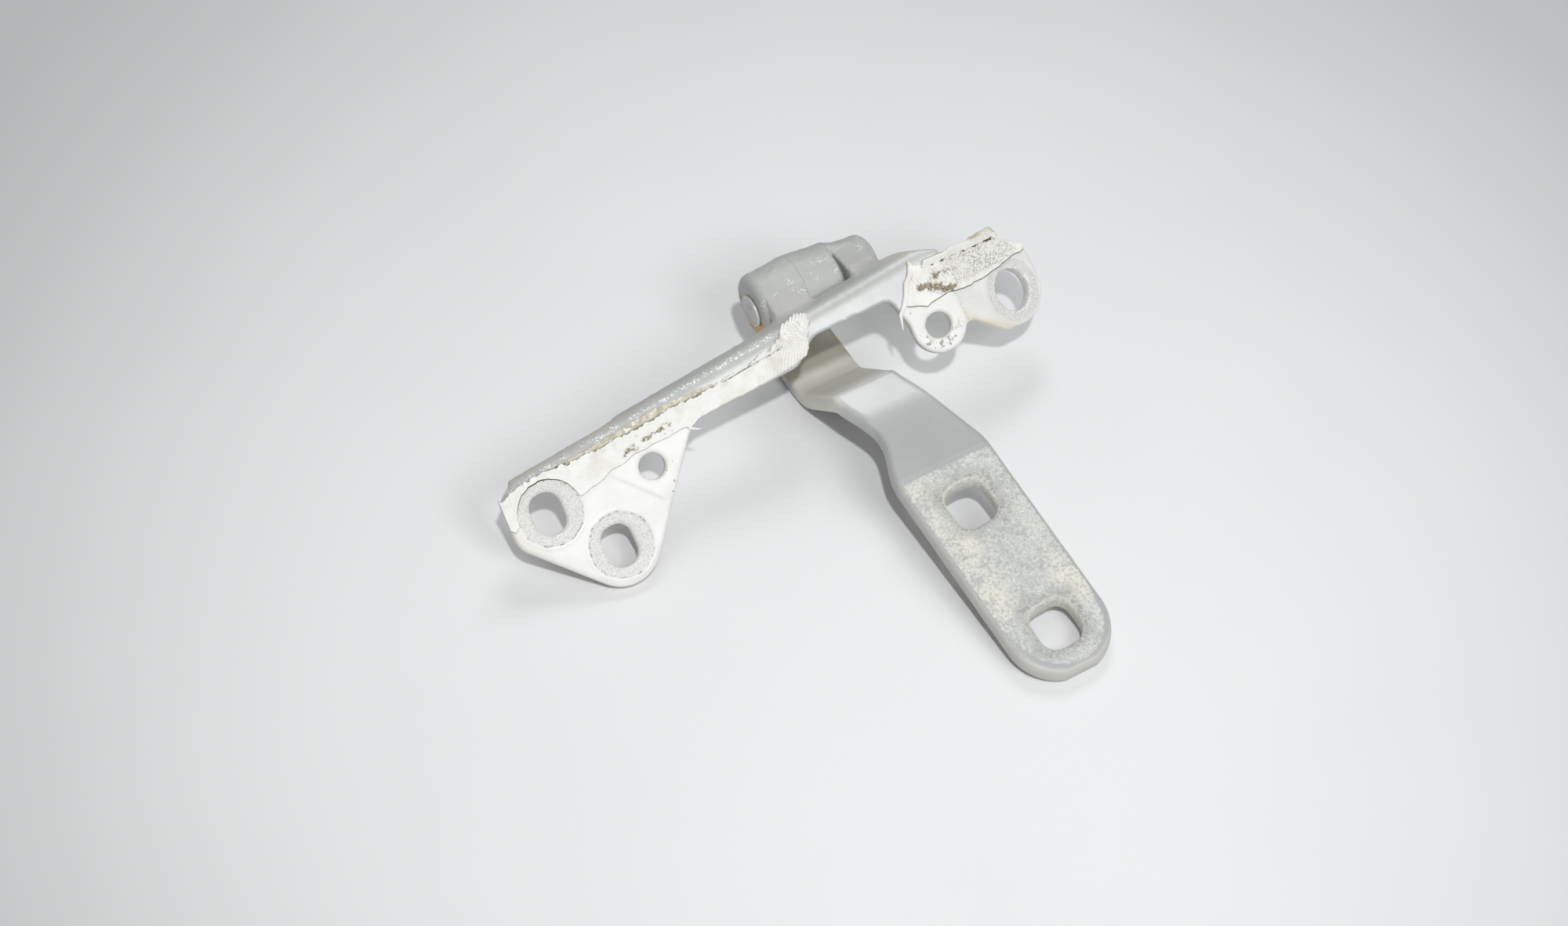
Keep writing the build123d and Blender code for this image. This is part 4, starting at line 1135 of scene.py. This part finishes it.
# %% Crumb tree
FULL_TURN = 6.28
crumb_tree = bpy.data.node_groups.new("scatter_crumbs", "GeometryNodeTree")
crumb_tree.is_modifier = True
for label, kind in (("Sheet", "NodeSocketGeometry"), ("Mark", "NodeSocketString"), ("Density", FLOAT),
                    ("Size", FLOAT), ("Seed", "NodeSocketInt"), ("Finish", "NodeSocketMaterial")):
    crumb_tree.interface.new_socket(label, in_out="INPUT", socket_type=kind)
crumb_tree.interface.new_socket("Crumbs", in_out="OUTPUT", socket_type="NodeSocketGeometry")
given = crumb_tree.nodes.new("NodeGroupInput").outputs
result = crumb_tree.nodes.new("NodeGroupOutput").inputs
marked = add_node(crumb_tree, "GeometryNodeInputNamedAttribute", {"Name": given["Mark"]}, data_type="FLOAT")
density = times(crumb_tree, marked.outputs[0], given["Density"])
spread = add_node(crumb_tree, "GeometryNodeDistributePointsOnFaces",
                  {"Mesh": given["Sheet"], "Density": density, "Seed": given["Seed"]})
stone = add_node(crumb_tree, "GeometryNodeMeshIcoSphere", {"Radius": 1.0, "Subdivisions": 1})
size_range = {2: times(crumb_tree, given["Size"], 0.3), 3: given["Size"], "Seed": given["Seed"]}
size = add_node(crumb_tree, "FunctionNodeRandomValue", size_range, data_type="FLOAT")
spin_range = {0: (0, 0, 0), 1: (FULL_TURN, FULL_TURN, FULL_TURN), "Seed": given["Seed"]}
spin = add_node(crumb_tree, "FunctionNodeRandomValue", spin_range, data_type="FLOAT_VECTOR")
stones = add_node(crumb_tree, "GeometryNodeInstanceOnPoints",
                  {"Points": spread.outputs["Points"], "Instance": stone.outputs["Mesh"],
                   "Rotation": spin.outputs[0], "Scale": size.outputs[1]})
real = add_node(crumb_tree, "GeometryNodeRealizeInstances", {"Geometry": stones.outputs[0]})
dressed = add_node(crumb_tree, "GeometryNodeSetMaterial",
                   {"Geometry": real.outputs[0], "Material": given["Finish"]})
put(result["Crumbs"], dressed.outputs[0])


def scattered(name, carrier, mark_name, density, size, seed, finish):
    """Crumbs on a piece as a plain mesh."""
    blank = placed(name + "_blank", carrier.data)
    nodes = blank.modifiers.new("Crumbs", "NODES")
    nodes.node_group = crumb_tree
    sockets = {s.name: s.identifier for s in crumb_tree.interface.items_tree if s.in_out == "INPUT"}
    values = {"Mark": mark_name, "Density": density, "Size": size, "Seed": seed, "Finish": finish}
    for label, value in values.items():
        nodes[sockets[label]] = value
    return plain_mesh(blank)


# %% Crumbs on the sealer and on the pad
CRUMBS = (("dirt_left", sealer_strip, "dirt", 1.6e6, 0.00016, 3, grit_finish, "bracket", "sealer"),
          ("dirt_right", sealer_patch, "dirt", 3.0e6, 0.00019, 4, grit_finish, "bracket", "sealer"),
          ("pad_crust", arm_skin, "chalk", 1.5e6, 0.00013, 5, crust_finish, "arm", "arm_paint"))
for name, carrier, mark_name, density, size, seed, finish, body, slot in CRUMBS:
    mesh = scattered(name, carrier, mark_name, density, size, seed, finish)
    finish_piece(mesh, name, finish, body, slot)

# %% [markdown]
# The picture was taken from above the front left on a white table, with one lamp high on the camera's side
# and a lot of light reflected from all round. A soft spot gives the shadow; two panels and an even world
# fill it.

# %% Floor, light and camera
floor_mesh = bpy.data.meshes.new("table_top")
floor_mesh.from_pydata([(-3, -3, 0), (3, -3, 0), (3, 3, 0), (-3, 3, 0)], [], [(0, 1, 2, 3)])
floor = placed("table_top", floor_mesh)
floor_finish, tree, shader = new_finish("table_white")
table_tone = group_of(tree, mottle_tree, Light=(0.80, 0.805, 0.81, 1), Dark=(0.785, 0.79, 0.795, 1),
                      Scale=6.0)
feed(shader, Base_Color=table_tone, Roughness=0.75)
floor_mesh.materials.append(floor_finish)

world = bpy.data.worlds.new("room")
bpy.context.scene.world = world
world.use_nodes = True
feed(world.node_tree.nodes["Background"], Color=(1.0, 1.0, 0.99, 1), Strength=0.25)


def aimed(light, direction, distance, centre=(0.0, 0.0, 0.02)):
    """A light put a distance away from a point along a direction and turned to it."""
    holder = placed(light.name, light)
    way = Vector(direction).normalized()
    holder.location = Vector(centre) + way * distance
    holder.rotation_mode = "QUATERNION"
    holder.rotation_quaternion = (-way).to_track_quat("-Z", "Y")


lamp_data = bpy.data.lights.new("lamp", "SPOT")
lamp_data.energy = 46.0
lamp_data.shadow_soft_size = 0.036
lamp_data.spot_size = math.radians(25.0)
lamp_data.spot_blend = 1.0
aimed(lamp_data, (-0.145, -0.378, 0.915), 1.6, (-0.015, -0.02, 0.0))
PANELS = (("front_panel", (0.132, -0.671, 0.728), 1.3, 0.5, 5.4),
          ("back_panel", (0.30, 0.56, 0.785), 1.2, 0.45, 3.2))
for name, direction, distance, size, energy in PANELS:
    panel = bpy.data.lights.new(name, "AREA")
    panel.shape = "SQUARE"
    panel.size = size
    panel.color = (0.97, 0.985, 1.0)
    panel.energy = energy
    aimed(panel, direction, distance)

camera_data = bpy.data.cameras.new("camera")
camera_data.lens = 67.18
camera_data.sensor_width = 36.0
camera = placed("camera", camera_data)
camera.location = (-0.28276, -0.4512, 0.7415)
camera.rotation_mode = "QUATERNION"
camera.rotation_quaternion = Vector((0.3009, 0.5212, -0.7986)).to_track_quat("-Z", "Y")
bpy.context.scene.camera = camera
bpy.context.scene.view_settings.view_transform = "Standard"
print("camera at", list(camera.location))
